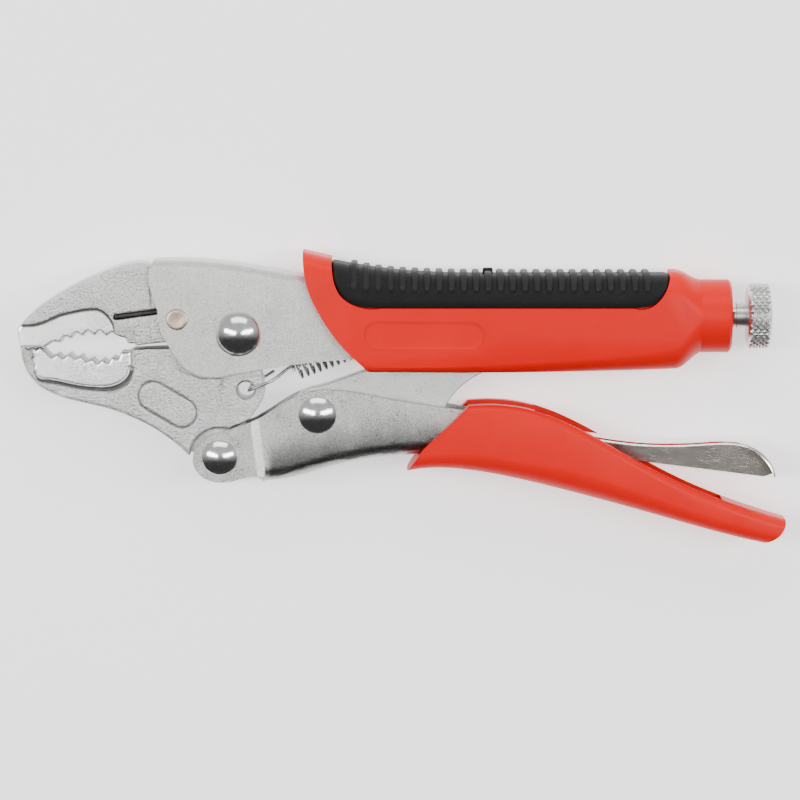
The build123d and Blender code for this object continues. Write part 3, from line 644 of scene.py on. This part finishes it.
class Shapes(Tree):
    """A geometry node tree with named inputs, run once on a mesh."""

    KINDS = {float: "NodeSocketFloat", int: "NodeSocketInt", tuple: "NodeSocketVector"}

    def __init__(self, name, material, **inputs):
        super().__init__(bpy.data.node_groups.new(name, "GeometryNodeTree"))
        self.name = name
        self.material = material
        self.inputs = inputs
        face = self.tree.interface
        face.new_socket("Geometry", in_out="INPUT", socket_type="NodeSocketGeometry")
        face.new_socket("Geometry", in_out="OUTPUT", socket_type="NodeSocketGeometry")
        self.identifiers = {}
        for key, value in inputs.items():
            socket = face.new_socket(key, in_out="INPUT", socket_type=self.KINDS[type(value)])
            self.identifiers[key] = socket.identifier
        self.given = self.add("NodeGroupInput")

    def run(self, shape, mesh):
        """Ends the tree with a shape, runs it on a mesh and returns the plain mesh it makes."""
        real = self.add("GeometryNodeRealizeInstances", {}, {"Geometry": shape})
        dressed = self.add("GeometryNodeSetMaterial", {}, {"Geometry": real, "Material": self.material})
        self.add("NodeGroupOutput", {}, {0: dressed})
        holder = bpy.data.objects.new(self.name, mesh)
        bpy.context.scene.collection.objects.link(holder)
        modifier = holder.modifiers.new(self.name, "NODES")
        modifier.node_group = self.tree
        for key, value in self.inputs.items():
            modifier[self.identifiers[key]] = value
        made = baked(holder).data
        bpy.data.objects.remove(holder)
        return made


def coil(name, material, radius, section, turns, height, per_turn, sides):
    """Helical bar about Z, starting on +X at the origin's height."""
    g = Shapes(name, material, Radius=radius, Section=section, Turns=float(turns), Height=height)
    spiral = g.add("GeometryNodeCurveSpiral", {}, {
        "Resolution": per_turn, "Rotations": g.given.of("Turns"), "Start Radius": g.given.of("Radius"),
        "End Radius": g.given.of("Radius"), "Height": g.given.of("Height")})
    upright = g.add("GeometryNodeSetCurveNormal", {"mode": "Z_UP"}, {"Curve": spiral})
    ring = g.add("GeometryNodeCurvePrimitiveCircle", {}, {
        "Resolution": sides, "Radius": g.given.of("Section")})
    bar = g.add("GeometryNodeCurveToMesh", {}, {"Curve": upright, "Profile Curve": ring, "Fill Caps": True})
    return g.run(bar, bpy.data.meshes.new(name))


# ---------- the pieces ----------

def span_x(node):
    """Front and rear of a CAD node, in millimetres from the main pivot."""
    return [(corner.x - PIVOT.x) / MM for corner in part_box(node)]


def dress(node, material):
    """Gives a CAD node that stays as it is a finish."""
    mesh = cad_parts[node].data
    mesh.materials.clear()
    mesh.materials.append(material)


def seat(obj, body, node):
    """Puts a finished piece in place of its CAD node."""
    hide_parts(node)
    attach(obj, body)


def forged(node, body, material):
    """Forged jaw: the CAD shape rebuilt in small cells, softened and made slightly uneven."""
    obj = new_object(node + "_skin", cad_copy(node, node + "_skin"), material, 0)
    cells = obj.modifiers.new("Cells", "REMESH")
    cells.mode = "VOXEL"
    cells.voxel_size = sizes().forging_grain
    cells.use_smooth_shade = True
    soften = obj.modifiers.new("Soften", "SMOOTH")
    soften.factor = 0.5
    soften.iterations = 3
    baked(obj)
    drop_layers(obj.data)
    wave = sizes().forging_wave
    normals = [vertex.normal.copy() for vertex in obj.data.vertices]
    for vertex, normal in zip(obj.data.vertices, normals):
        spot = (vertex.co - PIVOT) / MM
        on_flat = spot.x < JAW_FRONT and abs(spot.z) < FLAT_HALF + 0.1
        inside = spot.x > TANG_FRONT and spot.y > TANG_LOW
        if not on_flat and not inside:
            lift = noise.noise(spot * 0.55) + 0.6 * noise.noise(spot * 1.4)
            vertex.co += normal * (lift - 0.9) * wave       # stays under the CAD's skin
    seat(obj, body, node)


def pressed(node, body, material, width):
    """Pressed sheet or moulding: the CAD shape with worn edges."""
    obj = new_object(node + "_skin", cad_copy(node, node + "_skin", 0.3), material)
    bevelled(obj, width)
    seat(obj, body, node)


def rivet_profile(shank, head, height, half):
    """Half section of a rivet with a rounded rim under each dome."""
    rim, corner = 0.4, 0.18
    rise = height - rim
    dome_r = (rise ** 2 + head ** 2) / (2 * rise)
    middle = half + height - dome_r
    spread = math.asin(head / dome_r)
    upper = [(shank, 0.0), (shank, half), (head - corner, half), (head - corner * 0.3, half + corner * 0.3),
             (head, half + corner)]
    for step in range(1, 17):
        angle = spread * (1 - step / 16)
        upper.append((dome_r * math.sin(angle), middle + dome_r * math.cos(angle)))
    upper[5:5] = [(head * 0.995, half + rim)]
    return [(r, -z) for r, z in reversed(upper[1:])] + upper


RIVETS = (                # node, body, middle, and its shank, head, height and half width
    ("main_rivet", "upper_handle", (0.0, 0.0), (5.0, 7.3, 3.8, CHANNEL_HALF)),
    ("jaw_handle_rivet", "lower_handle", (-6.3, -40.6), (3.6, 5.8, 2.6, EAR_HALF)),
    ("link_rivet", "lower_handle", (25.6, -26.4), (3.6, 6.1, 2.6, CHANNEL_HALF)),
)
PIN_SPOT = (-19.8, 4.6)
PIN_FACE = ((0.0, 8.43), (1.0, 8.45), (1.9, 8.55), (2.6, 8.62), (3.1, 8.58), (3.32, 8.48), (3.4, 8.3))

PAD_TOPS = ((30.0, 24.5), (37.5, 23.0), (45.0, 21.9), (53.0, 20.9), (61.0, 20.4), (69.0, 20.0), (141.0, 20.1))
PAD_LOWS = ((30.2, 24.2), (30.6, 20.5), (31.6, 16.2), (33.3, 12.6), (35.4, 10.6), (38.0, 9.4), (41.0, 8.8),
            (46.0, 8.5), (128.0, 8.5), (132.0, 8.9), (134.6, 9.7), (136.6, 11.3), (138.5, 14.6),
            (139.4, 17.6), (139.9, 19.8))
PAD_FRONT, PAD_LENGTH, PAD_THICK = 30.35, 109.35, 1.9
SKIN_DROP, SKIN_INSET = 0.7, 0.4          # the skin between the ribs lies under their crests
SKIN_SINK = (0.55, 0.16, 0.04)            # from the pad's edge inward
ARCH_R = 7.5
ARCH_SIDE = 12.7
ARCH_LOW = 8.0
ARCH_STEPS = 24
CORE_TOP, CORE_HALF = 12.5, 5.2
RIB_TOP, RIB_FOOT = 20.0, 12.4
RIB_START = 37.5
RIB_SINK, RIB_NARROW = (1.1, 0.35, 0.08), (0.45, 0.82, 0.96)      # from the rib's end inward
RIB_SECTION = (           # across the rib, depth, and 1 on the crest
    (-0.5, 1.5, 0.0), (-0.49, 0.5, 0.1), (-0.36, 0.08, 0.8), (0.0, 0.0, 1.0), (0.36, 0.08, 0.8),
    (0.49, 0.5, 0.1), (0.5, 1.5, 0.0))
NUB_SPOT, NUB_HALF, NUB_CORNER = (80.9, 19.2, 0.0), (1.65, 1.6, 1.65), 0.5


def read(table, x):
    """Value at x of a table of points joined by straight lines."""
    for (x0, y0), (x1, y1) in zip(table, table[1:]):
        if x <= x1:
            return y0 + (y1 - y0) * max(0.0, (x - x0) / (x1 - x0))
    return table[-1][1]


def arch(top, low, samples, inset=0.0):
    """Points (y, z) over the grip's back from one side to the other, above a height."""
    radius = ARCH_R - inset
    mid_y, mid_z = top - inset - radius, ARCH_SIDE - ARCH_R
    side = GRIP_HALF - inset
    half = [(ARCH_LOW, side)]
    for step in range(ARCH_STEPS + 1):
        angle = math.pi / 2 * step / ARCH_STEPS
        half.append((mid_y + radius * math.sin(angle), min(mid_z + radius * math.cos(angle), side)))
    whole = half + [(y, -z) for y, z in reversed(half)]
    lengths = [0.0]
    for (y0, z0), (y1, z1) in zip(whole, whole[1:]):
        lengths.append(lengths[-1] + math.hypot(y1 - y0, z1 - z0))
    start = 0.0
    for index, ((y0, z0), (y1, z1)) in enumerate(zip(half, half[1:])):
        if y0 <= low <= y1:
            start = lengths[index] + (lengths[index + 1] - lengths[index]) * (low - y0) / max(y1 - y0, 1e-9)
    found, index = [], 0
    for step in range(samples):
        goal = start + (lengths[-1] - 2 * start) * step / (samples - 1)
        while index < len(whole) - 2 and lengths[index + 1] < goal:
            index += 1
        share = (goal - lengths[index]) / max(lengths[index + 1] - lengths[index], 1e-9)
        (y0, z0), (y1, z1) = whole[index], whole[index + 1]
        found.append((y0 + (y1 - y0) * share, z0 + (z1 - z0) * share))
    return found


def toward_core(y, z):
    """Unit direction from a point of the grip's skin to its core line."""
    core_y = min(y, CORE_TOP)
    core_z = max(-CORE_HALF, min(CORE_HALF, z))
    return Vector((0.0, core_y - y, core_z - z)).normalized()


def from_edge(table, edge, middle):
    """Value for a number of steps from the edge, past the table's end the middle's."""
    return table[edge] if edge < len(table) else middle


def pad_skin(name):
    """Plain skin of the pad between its ribs, closed on the inside."""
    columns, samples = 130, 41
    outer, inner = [], []
    for column in range(columns):
        share = column / (columns - 1)
        denser_at_ends = 0.35 * (0.5 - 0.5 * math.cos(math.pi * share)) + 0.65 * share
        x = PAD_FRONT + PAD_LENGTH * denser_at_ends
        edge_x = min(column, columns - 1 - column)
        top = read(PAD_TOPS, x)
        run = arch(top - SKIN_DROP, min(read(PAD_LOWS, x), top - 1.3), samples, SKIN_INSET)
        for index, (y, z) in enumerate(run):
            edge = min(edge_x, index, samples - 1 - index)
            into = toward_core(y, z)
            spot = Vector((x, y, z)) + into * from_edge(SKIN_SINK, edge, 0.0)
            outer.append(place(*spot))
            inner.append(place(*(spot + into * PAD_THICK)))
    points = outer + inner
    faces, far = [], len(outer)
    for column in range(columns - 1):
        for index in range(samples - 1):
            a = column * samples + index
            b = a + samples
            faces.append((a, a + 1, b + 1, b))
            faces.append((far + a, far + b, far + b + 1, far + a + 1))
    for column in range(columns - 1):
        for index in (0, samples - 1):
            a = column * samples + index
            faces.append((a, a + samples, far + a + samples, far + a))
    for index in range(samples - 1):
        for column in (0, columns - 1):
            a = column * samples + index
            faces.append((a, a + 1, far + a + 1, far + a))
    return mesh_of(name, points, faces)


def one_rib(name, width):
    """One rib about its foot, to be set along the pad."""
    samples = 31
    run = arch(RIB_TOP, RIB_FOOT, samples)
    points, faces, crests = [], [], []
    for index, (y, z) in enumerate(run):
        edge = min(index, samples - 1 - index)
        sink = from_edge(RIB_SINK, edge, 0.0)
        narrow = from_edge(RIB_NARROW, edge, 1.0)
        into = toward_core(y, z)
        for across, depth, crest in RIB_SECTION:
            spot = Vector((across * width / MM * narrow, y - RIB_FOOT, z)) + into * (depth + sink)
            points.append(spot * MM)
            crests.append(crest)
    count = len(RIB_SECTION)
    for index in range(samples - 1):
        for step in range(count):
            after = (step + 1) % count
            a = index * count
            faces.append((a + step, a + after, a + count + after, a + count + step))
    faces.append(tuple(range(count)))
    faces.append(tuple(range((samples - 1) * count, samples * count)))
    mesh = mesh_of(name, points, faces)
    # the crest value places the pad's painted highlight
    kept = mesh.attributes.new("crest", "FLOAT", "POINT")
    kept.data.foreach_set("value", crests)
    return mesh


def pad_ribs(name, material):
    """All the ribs, taller toward the front where the grip's back rises."""
    s = sizes()
    start = place(RIB_START, RIB_FOOT)
    g = Shapes(name, material, Count=s.rib_count, Pitch=s.rib_pitch, FirstX=start.x, Rise=0.395, Fade=0.011)
    offset = g.add("ShaderNodeCombineXYZ", {}, {"X": g.given.of("Pitch")})
    line = g.add("GeometryNodeMeshLine", {}, {
        "Count": g.given.of("Count"), "Start Location": tuple(start), "Offset": offset})
    place_x = g.add("ShaderNodeSeparateXYZ", {}, {0: g.add("GeometryNodeInputPosition")})
    fade = ((g.given.of("FirstX") - place_x) / g.given.of("Fade")).math("EXPONENT")
    taller = fade * g.given.of("Rise") + 1.0
    scale = g.add("ShaderNodeCombineXYZ", {}, {"X": 1.0, "Y": taller, "Z": 1.0})
    ribs = g.add("GeometryNodeInstanceOnPoints", {}, {
        "Points": line, "Instance": g.given.of("Geometry"), "Scale": scale})
    return g.run(ribs, one_rib(name, s.rib_width))


def rounded_block(name, centre, half, corner):
    """Box with rounded edges, in millimetres."""
    bm = bmesh.new()
    bmesh.ops.create_cube(bm, size=2.0)
    for vertex in bm.verts:
        vertex.co = Vector((vertex.co.x * half[0], vertex.co.y * half[1], vertex.co.z * half[2]))
    bmesh.ops.bevel(bm, geom=list(bm.edges), offset=corner, segments=3, profile=0.5, affect="EDGES")
    for vertex in bm.verts:
        vertex.co = place(*(vertex.co + Vector(centre)))
    mesh = bpy.data.meshes.new(name)
    bm.to_mesh(mesh)
    bm.free()
    return mesh


def knurl(name, material, radius, start):
    """Truncated diamonds round the knob, in staggered rows."""
    s = sizes()
    g = Shapes(name, material, Columns=float(s.knurl_columns), Step=s.knurl_step, Radius=radius, Start=start)
    columns, step = g.given.of("Columns"), g.given.of("Step")
    index = g.add("GeometryNodeInputIndex")
    row = (index / columns).math("FLOOR")
    column = index - row * columns
    angle = (column + (row % 2.0) * 0.5) * (2 * math.pi) / columns
    across = angle.math("SINE") * g.given.of("Radius") * -1.0
    up = angle.math("COSINE") * g.given.of("Radius")
    spot = g.add("ShaderNodeCombineXYZ", {}, {"X": g.given.of("Start") + row * step, "Y": across, "Z": up})
    line = g.add("GeometryNodeMeshLine", {}, {"Count": KNURL_ROWS * s.knurl_columns})
    points = g.add("GeometryNodeSetPosition", {}, {"Geometry": line, "Position": spot})
    half_width = g.given.of("Radius") * math.pi / columns
    diamond = g.add("GeometryNodeMeshCone", {}, {
        "Vertices": 4, "Radius Top": 0.24, "Radius Bottom": 1.0, "Depth": 0.00062})
    turn = g.add("ShaderNodeCombineXYZ", {}, {"X": angle})
    rotation = g.add("FunctionNodeEulerToRotation", {}, {"Euler": turn})
    scale = g.add("ShaderNodeCombineXYZ", {}, {"X": step, "Y": half_width, "Z": 1.0})
    teeth = g.add("GeometryNodeInstanceOnPoints", {}, {
        "Points": points, "Instance": diamond, "Rotation": rotation, "Scale": scale})
    return g.run(teeth, bpy.data.meshes.new(name))


# ---------- operators ----------

class PLIERS_OT_jaws(bpy.types.Operator):
    """Make both forged jaws"""

    bl_idname = "pliers.make_jaws"
    bl_label = "Jaws"

    def execute(self, context):
        material = forged_plate("forged plate", colours().forging, colours().ground)
        forged("upper_jaw", "upper_handle", material)
        forged("lower_jaw", "moving_jaw", material)
        return {"FINISHED"}


class PLIERS_OT_channels(bpy.types.Operator):
    """Make both pressed channels and the toggle link"""

    bl_idname = "pliers.make_channels"
    bl_label = "Channels and link"

    def execute(self, context):
        channel = satin_plate("satin plate", colours().nickel)
        link = satin_plate("link plate", colours().nickel, 0.18, 0.30)
        edge = sizes().sheet_edge
        pressed("upper_channel", "upper_handle", channel, edge)
        # the lower channel's finish carries a painted dark reflection on its belly and a painted highlight on
        # its bend
        bent = satin_plate("satin plate with a dark belly", colours().nickel, 0.34, 0.30, 0.78)
        pressed("lower_channel", "lower_handle", bent, edge)
        pressed("toggle_link", "link", link, edge)
        return {"FINISHED"}


class PLIERS_OT_rivets(bpy.types.Operator):
    """Make the domed rivets and the worn pin, and finish the hidden pins"""

    bl_idname = "pliers.make_rivets"
    bl_label = "Rivets and pins"

    def execute(self, context):
        bright = polished("polished steel", colours().polish)
        for node, body, (x, y), shape in RIVETS:
            mesh = lathe(node + "_dome", rivet_profile(*shape), place(x, y))
            seat(new_object(node + "_dome", mesh, bright), body, node)
        profile = [(r, -z) for r, z in PIN_FACE] + list(reversed(PIN_FACE))
        pin = lathe("jaw_pin_face", profile, place(*PIN_SPOT))
        seat(new_object("jaw_pin_face", pin, tan_steel("tan pin", colours().tan)), "upper_handle",
             "jaw_pin")
        for node in ("spring_anchor_pin", "lever_pin"):
            dress(node, bright)
        return {"FINISHED"}


class PLIERS_OT_grips(bpy.types.Operator):
    """Make the moulded shell and the lower grip"""

    bl_idname = "pliers.make_grips"
    bl_label = "Moulded grips"

    def execute(self, context):
        material = red_plastic("red plastic", colours().red)
        pressed("upper_grip_shell", "upper_handle", material, sizes().grip_edge)
        pressed("lower_grip", "lower_handle", material, sizes().grip_edge)
        return {"FINISHED"}


class PLIERS_OT_pad(bpy.types.Operator):
    """Make the soft pad with its ribs"""

    bl_idname = "pliers.make_pad"
    bl_label = "Soft pad"

    def execute(self, context):
        material = soft_rubber("soft rubber", colours().rubber)
        skin = pad_skin("pad_skin")
        nub = rounded_block("pad_nub", NUB_SPOT, NUB_HALF, NUB_CORNER)
        whole = joined("upper_grip_pad_skin", skin, pad_ribs("pad_ribs", material), nub)
        if not whole.polygons:
            raise RuntimeError("the pad came out empty")
        seat(new_object("upper_grip_pad_skin", whole, material, 50.0), "upper_handle", "upper_grip_pad")
        return {"FINISHED"}


class PLIERS_OT_lever(bpy.types.Operator):
    """Make the release lever"""

    bl_idname = "pliers.make_lever"
    bl_label = "Release lever"

    def execute(self, context):
        material = lever_nickel("lever nickel", colours().lever)
        pressed("release_lever", "lever", material, LEVER_EDGE * MM)
        return {"FINISHED"}


class PLIERS_OT_screw(bpy.types.Operator):
    """Make the adjusting screw with its thread, and finish the end nut"""

    bl_idname = "pliers.make_screw"
    bl_label = "Adjusting screw"

    def execute(self, context):
        material = machined_steel("thread steel", colours().steel, 0.30, 0.2)
        front, rear = span_x("adjusting_screw")
        core = [(0.0, front), (3.3, front), (CORE_R, front + 0.8), (CORE_R, THREAD_END),
                (4.26, THREAD_END + 0.2), (4.26, rear - 0.2), (4.0, rear), (0.0, rear)]
        shank = lathe("screw_core", core, place(0.0, SCREW_AXIS), "X")
        pitch = sizes().thread_pitch
        length = (THREAD_END - front - 2.4) * MM
        thread = coil("screw_thread", material, THREAD_R * MM, THREAD_SECTION * MM, length / pitch, length,
                      per_turn=20, sides=4)
        turn = Matrix(((0, 0, 1, 0), (0, 1, 0, 0), (-1, 0, 0, 0), (0, 0, 0, 1)))
        thread.transform(Matrix.Translation(place(front + 1.4, SCREW_AXIS)) @ turn)
        whole = joined("adjusting_screw_thread", shank, thread)
        seat(new_object("adjusting_screw_thread", whole, material), "screw", "adjusting_screw")
        dress("end_nut", material)
        return {"FINISHED"}


class PLIERS_OT_knob(bpy.types.Operator):
    """Make the knurled adjusting knob"""

    bl_idname = "pliers.make_knob"
    bl_label = "Knurled knob"

    def execute(self, context):
        material = machined_steel("knurled steel", colours().steel, 0.26)
        start, end = span_x("adjusting_knob")
        bore_end = start + KNOB_BORE_DEPTH
        blank = [(0.0, bore_end), (KNOB_BORE, bore_end), (KNOB_BORE, start), (8.9, start), (9.3, start + 0.1),
                 (KNOB_R, start + 0.95), (KNOB_R, end - 0.95), (9.3, end - 0.1), (8.9, end), (3.4, end),
                 (3.0, end - 0.35), (0.0, end - 0.35)]
        body = lathe("knob_blank", blank, place(0.0, SCREW_AXIS), "X", 96)
        step = sizes().knurl_step
        middle = (start + end) / 2 * MM
        diamonds = knurl("knob_knurl", material, KNURL_R * MM, middle - (KNURL_ROWS - 1) / 2 * step)
        diamonds.transform(Matrix.Translation(place(0.0, SCREW_AXIS)))
        whole = joined("adjusting_knob_knurl", body, diamonds)
        knob = new_object("adjusting_knob_knurl", whole, material, 25.0)
        seat(knob, "knob", "adjusting_knob")
        return {"FINISHED"}


class PLIERS_OT_spring(bpy.types.Operator):
    """Make the tension spring with its two hooks"""

    bl_idname = "pliers.make_spring"
    bl_label = "Tension spring"

    def execute(self, context):
        material = machined_steel("spring wire", colours().wire, 0.26, 0.1)
        wire, turns = sizes().wire_radius, sizes().spring_turns
        length = turns * SPRING_PITCH
        axis = (SPRING_ANCHOR - SPRING_START).normalized()
        up = Vector((0.0, 0.0, 1.0))
        across = axis.cross(up)
        basis = Matrix((up, across, axis)).transposed().to_4x4()
        body = coil("spring_coil", material, SPRING_MEAN * MM, wire, turns, length * MM, per_turn=24, sides=8)
        body.transform(Matrix.Translation(place(*SPRING_START)) @ basis)
        first = SPRING_START + up * SPRING_MEAN
        last = first + axis * length
        side = HOOK_SIDE
        front = [first + across * 0.4 - axis * 0.05, first - across * 1.6 - axis * 0.7]
        front += [Vector(spot) for spot in (
            (11.6, -15.0, side - 0.6), (6.5, -17.3, side), (3.6, -18.5, side - 0.6), (3.4, -18.6, side - 2.6),
            (3.4, -18.6, 2.0 - side), (3.8, -18.3, 0.5 - side), (7.5, -15.9, -side), (11.2, -13.6, -side))]
        beside = Vector((-axis.y, axis.x, 0.0))
        rear = [last - across * 0.3, last + across * 1.8 + axis * 0.9,
                SPRING_START + axis * (length + 5.2) + beside * HOOK_REACH]
        rear += [SPRING_ANCHOR + (axis * along + beside * aside) * HOOK_REACH
                 for along, aside in ((0.0, 1.0), (0.8, 0.6), (1.0, 0.0), (0.7, -0.7), (0.0, -1.0))]
        rear.append(SPRING_ANCHOR - axis * 1.6 - beside * HOOK_REACH)
        hooks = [tube("hook", [place(*p) for p in smooth_path(points)], wire) for points in (front, rear)]
        whole = joined("tension_spring_coil", body, *hooks)
        obj = new_object("tension_spring_coil", whole, material)
        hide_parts("tension_spring")
        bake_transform(obj)
        return {"FINISHED"}


def area_light(name, size, power, spot, aim):
    """Soft rectangular lamp at a spot in metres, turned to an aim."""
    light = bpy.data.lights.new(name, "AREA")
    light.shape = "RECTANGLE"
    light.size, light.size_y = size
    light.energy = power
    obj = bpy.data.objects.new(name, light)
    obj.location = spot
    obj.rotation_euler = (Vector(aim) - Vector(spot)).to_track_quat("-Z", "Y").to_euler()
    bpy.context.scene.collection.objects.link(obj)
    return obj


def studio_world():
    """Soft surroundings: bright above and behind the tool, dim toward its lower handle."""
    world = bpy.data.worlds.new("studio")
    world.use_nodes = True
    world.node_tree.nodes.clear()
    t = Tree(world.node_tree)
    way = t.add("ShaderNodeTexCoord", output="Generated")
    toward_y = t.add("ShaderNodeSeparateXYZ", inputs={0: way}, output="Y")
    strength = toward_y.step(-0.45, 0.25, 0.05, 0.62)
    light = t.add("ShaderNodeBackground", {}, {"Color": (1.0, 1.0, 1.0, 1.0), "Strength": strength})
    t.add("ShaderNodeOutputWorld", {}, {"Surface": light})
    return world


class PLIERS_OT_stage(bpy.types.Operator):
    """Make the floor, the lights and the camera"""

    bl_idname = "pliers.make_stage"
    bl_label = "Studio"

    def execute(self, context):
        scene = context.scene
        corners = [(x * FLOOR_HALF, y * FLOOR_HALF, FLOOR_LEVEL)
                   for x, y in ((-1, -1), (1, -1), (1, 1), (-1, 1))]
        mesh = bpy.data.meshes.new("floor")
        mesh.from_pydata(corners, [], [(0, 1, 2, 3)])
        floor = new_object("floor", mesh, pale_floor("pale floor"), 0)
        centre = place(52.4, -21.5, 9.0)
        lights = [area_light(*lamp, centre) for lamp in LAMPS]
        scene.world = studio_world()
        camera = bpy.data.objects.new("camera", bpy.data.cameras.new("camera"))
        tilt = math.radians(VIEW_TILT)
        camera.location = centre + Vector((0.0, math.sin(tilt), math.cos(tilt))) * VIEW_DISTANCE
        camera.rotation_euler = (-tilt, 0.0, 0.0)
        camera.data.angle = 2 * math.atan(VIEW_WIDTH / 2 / VIEW_DISTANCE)
        scene.collection.objects.link(camera)
        scene.camera = camera
        return {"FINISHED"}


OPERATORS = (PLIERS_OT_jaws, PLIERS_OT_channels, PLIERS_OT_rivets, PLIERS_OT_grips, PLIERS_OT_pad,
             PLIERS_OT_lever, PLIERS_OT_screw, PLIERS_OT_knob, PLIERS_OT_spring, PLIERS_OT_stage)


class PLIERS_PT_panel(bpy.types.Panel):
    """Buttons for each group of pieces"""

    bl_idname = "PLIERS_PT_panel"
    bl_label = "Locking Pliers"
    bl_space_type = "VIEW_3D"
    bl_region_type = "UI"
    bl_category = "Pliers"

    def draw(self, context):
        for operator in OPERATORS:
            self.layout.operator(operator.bl_idname)
        for group in (context.scene.pliers_sizes, context.scene.pliers_colours):
            box = self.layout.box()
            for key in group.__annotations__:
                box.prop(group, key)


CLASSES = (PliersSizes, PliersColours, *OPERATORS, PLIERS_PT_panel)


def register():
    for item in CLASSES:
        bpy.utils.register_class(item)
    bpy.types.Scene.pliers_sizes = PointerProperty(type=PliersSizes)
    bpy.types.Scene.pliers_colours = PointerProperty(type=PliersColours)


def unregister():
    del bpy.types.Scene.pliers_colours
    del bpy.types.Scene.pliers_sizes
    for item in reversed(CLASSES):
        bpy.utils.unregister_class(item)


def main():
    register()
    bpy.ops.pliers.make_jaws()
    bpy.ops.pliers.make_channels()
    bpy.ops.pliers.make_rivets()
    bpy.ops.pliers.make_grips()
    bpy.ops.pliers.make_pad()
    bpy.ops.pliers.make_lever()
    bpy.ops.pliers.make_screw()
    bpy.ops.pliers.make_knob()
    bpy.ops.pliers.make_spring()
    bpy.ops.pliers.make_stage()


if __name__ == "__main__":
    main()
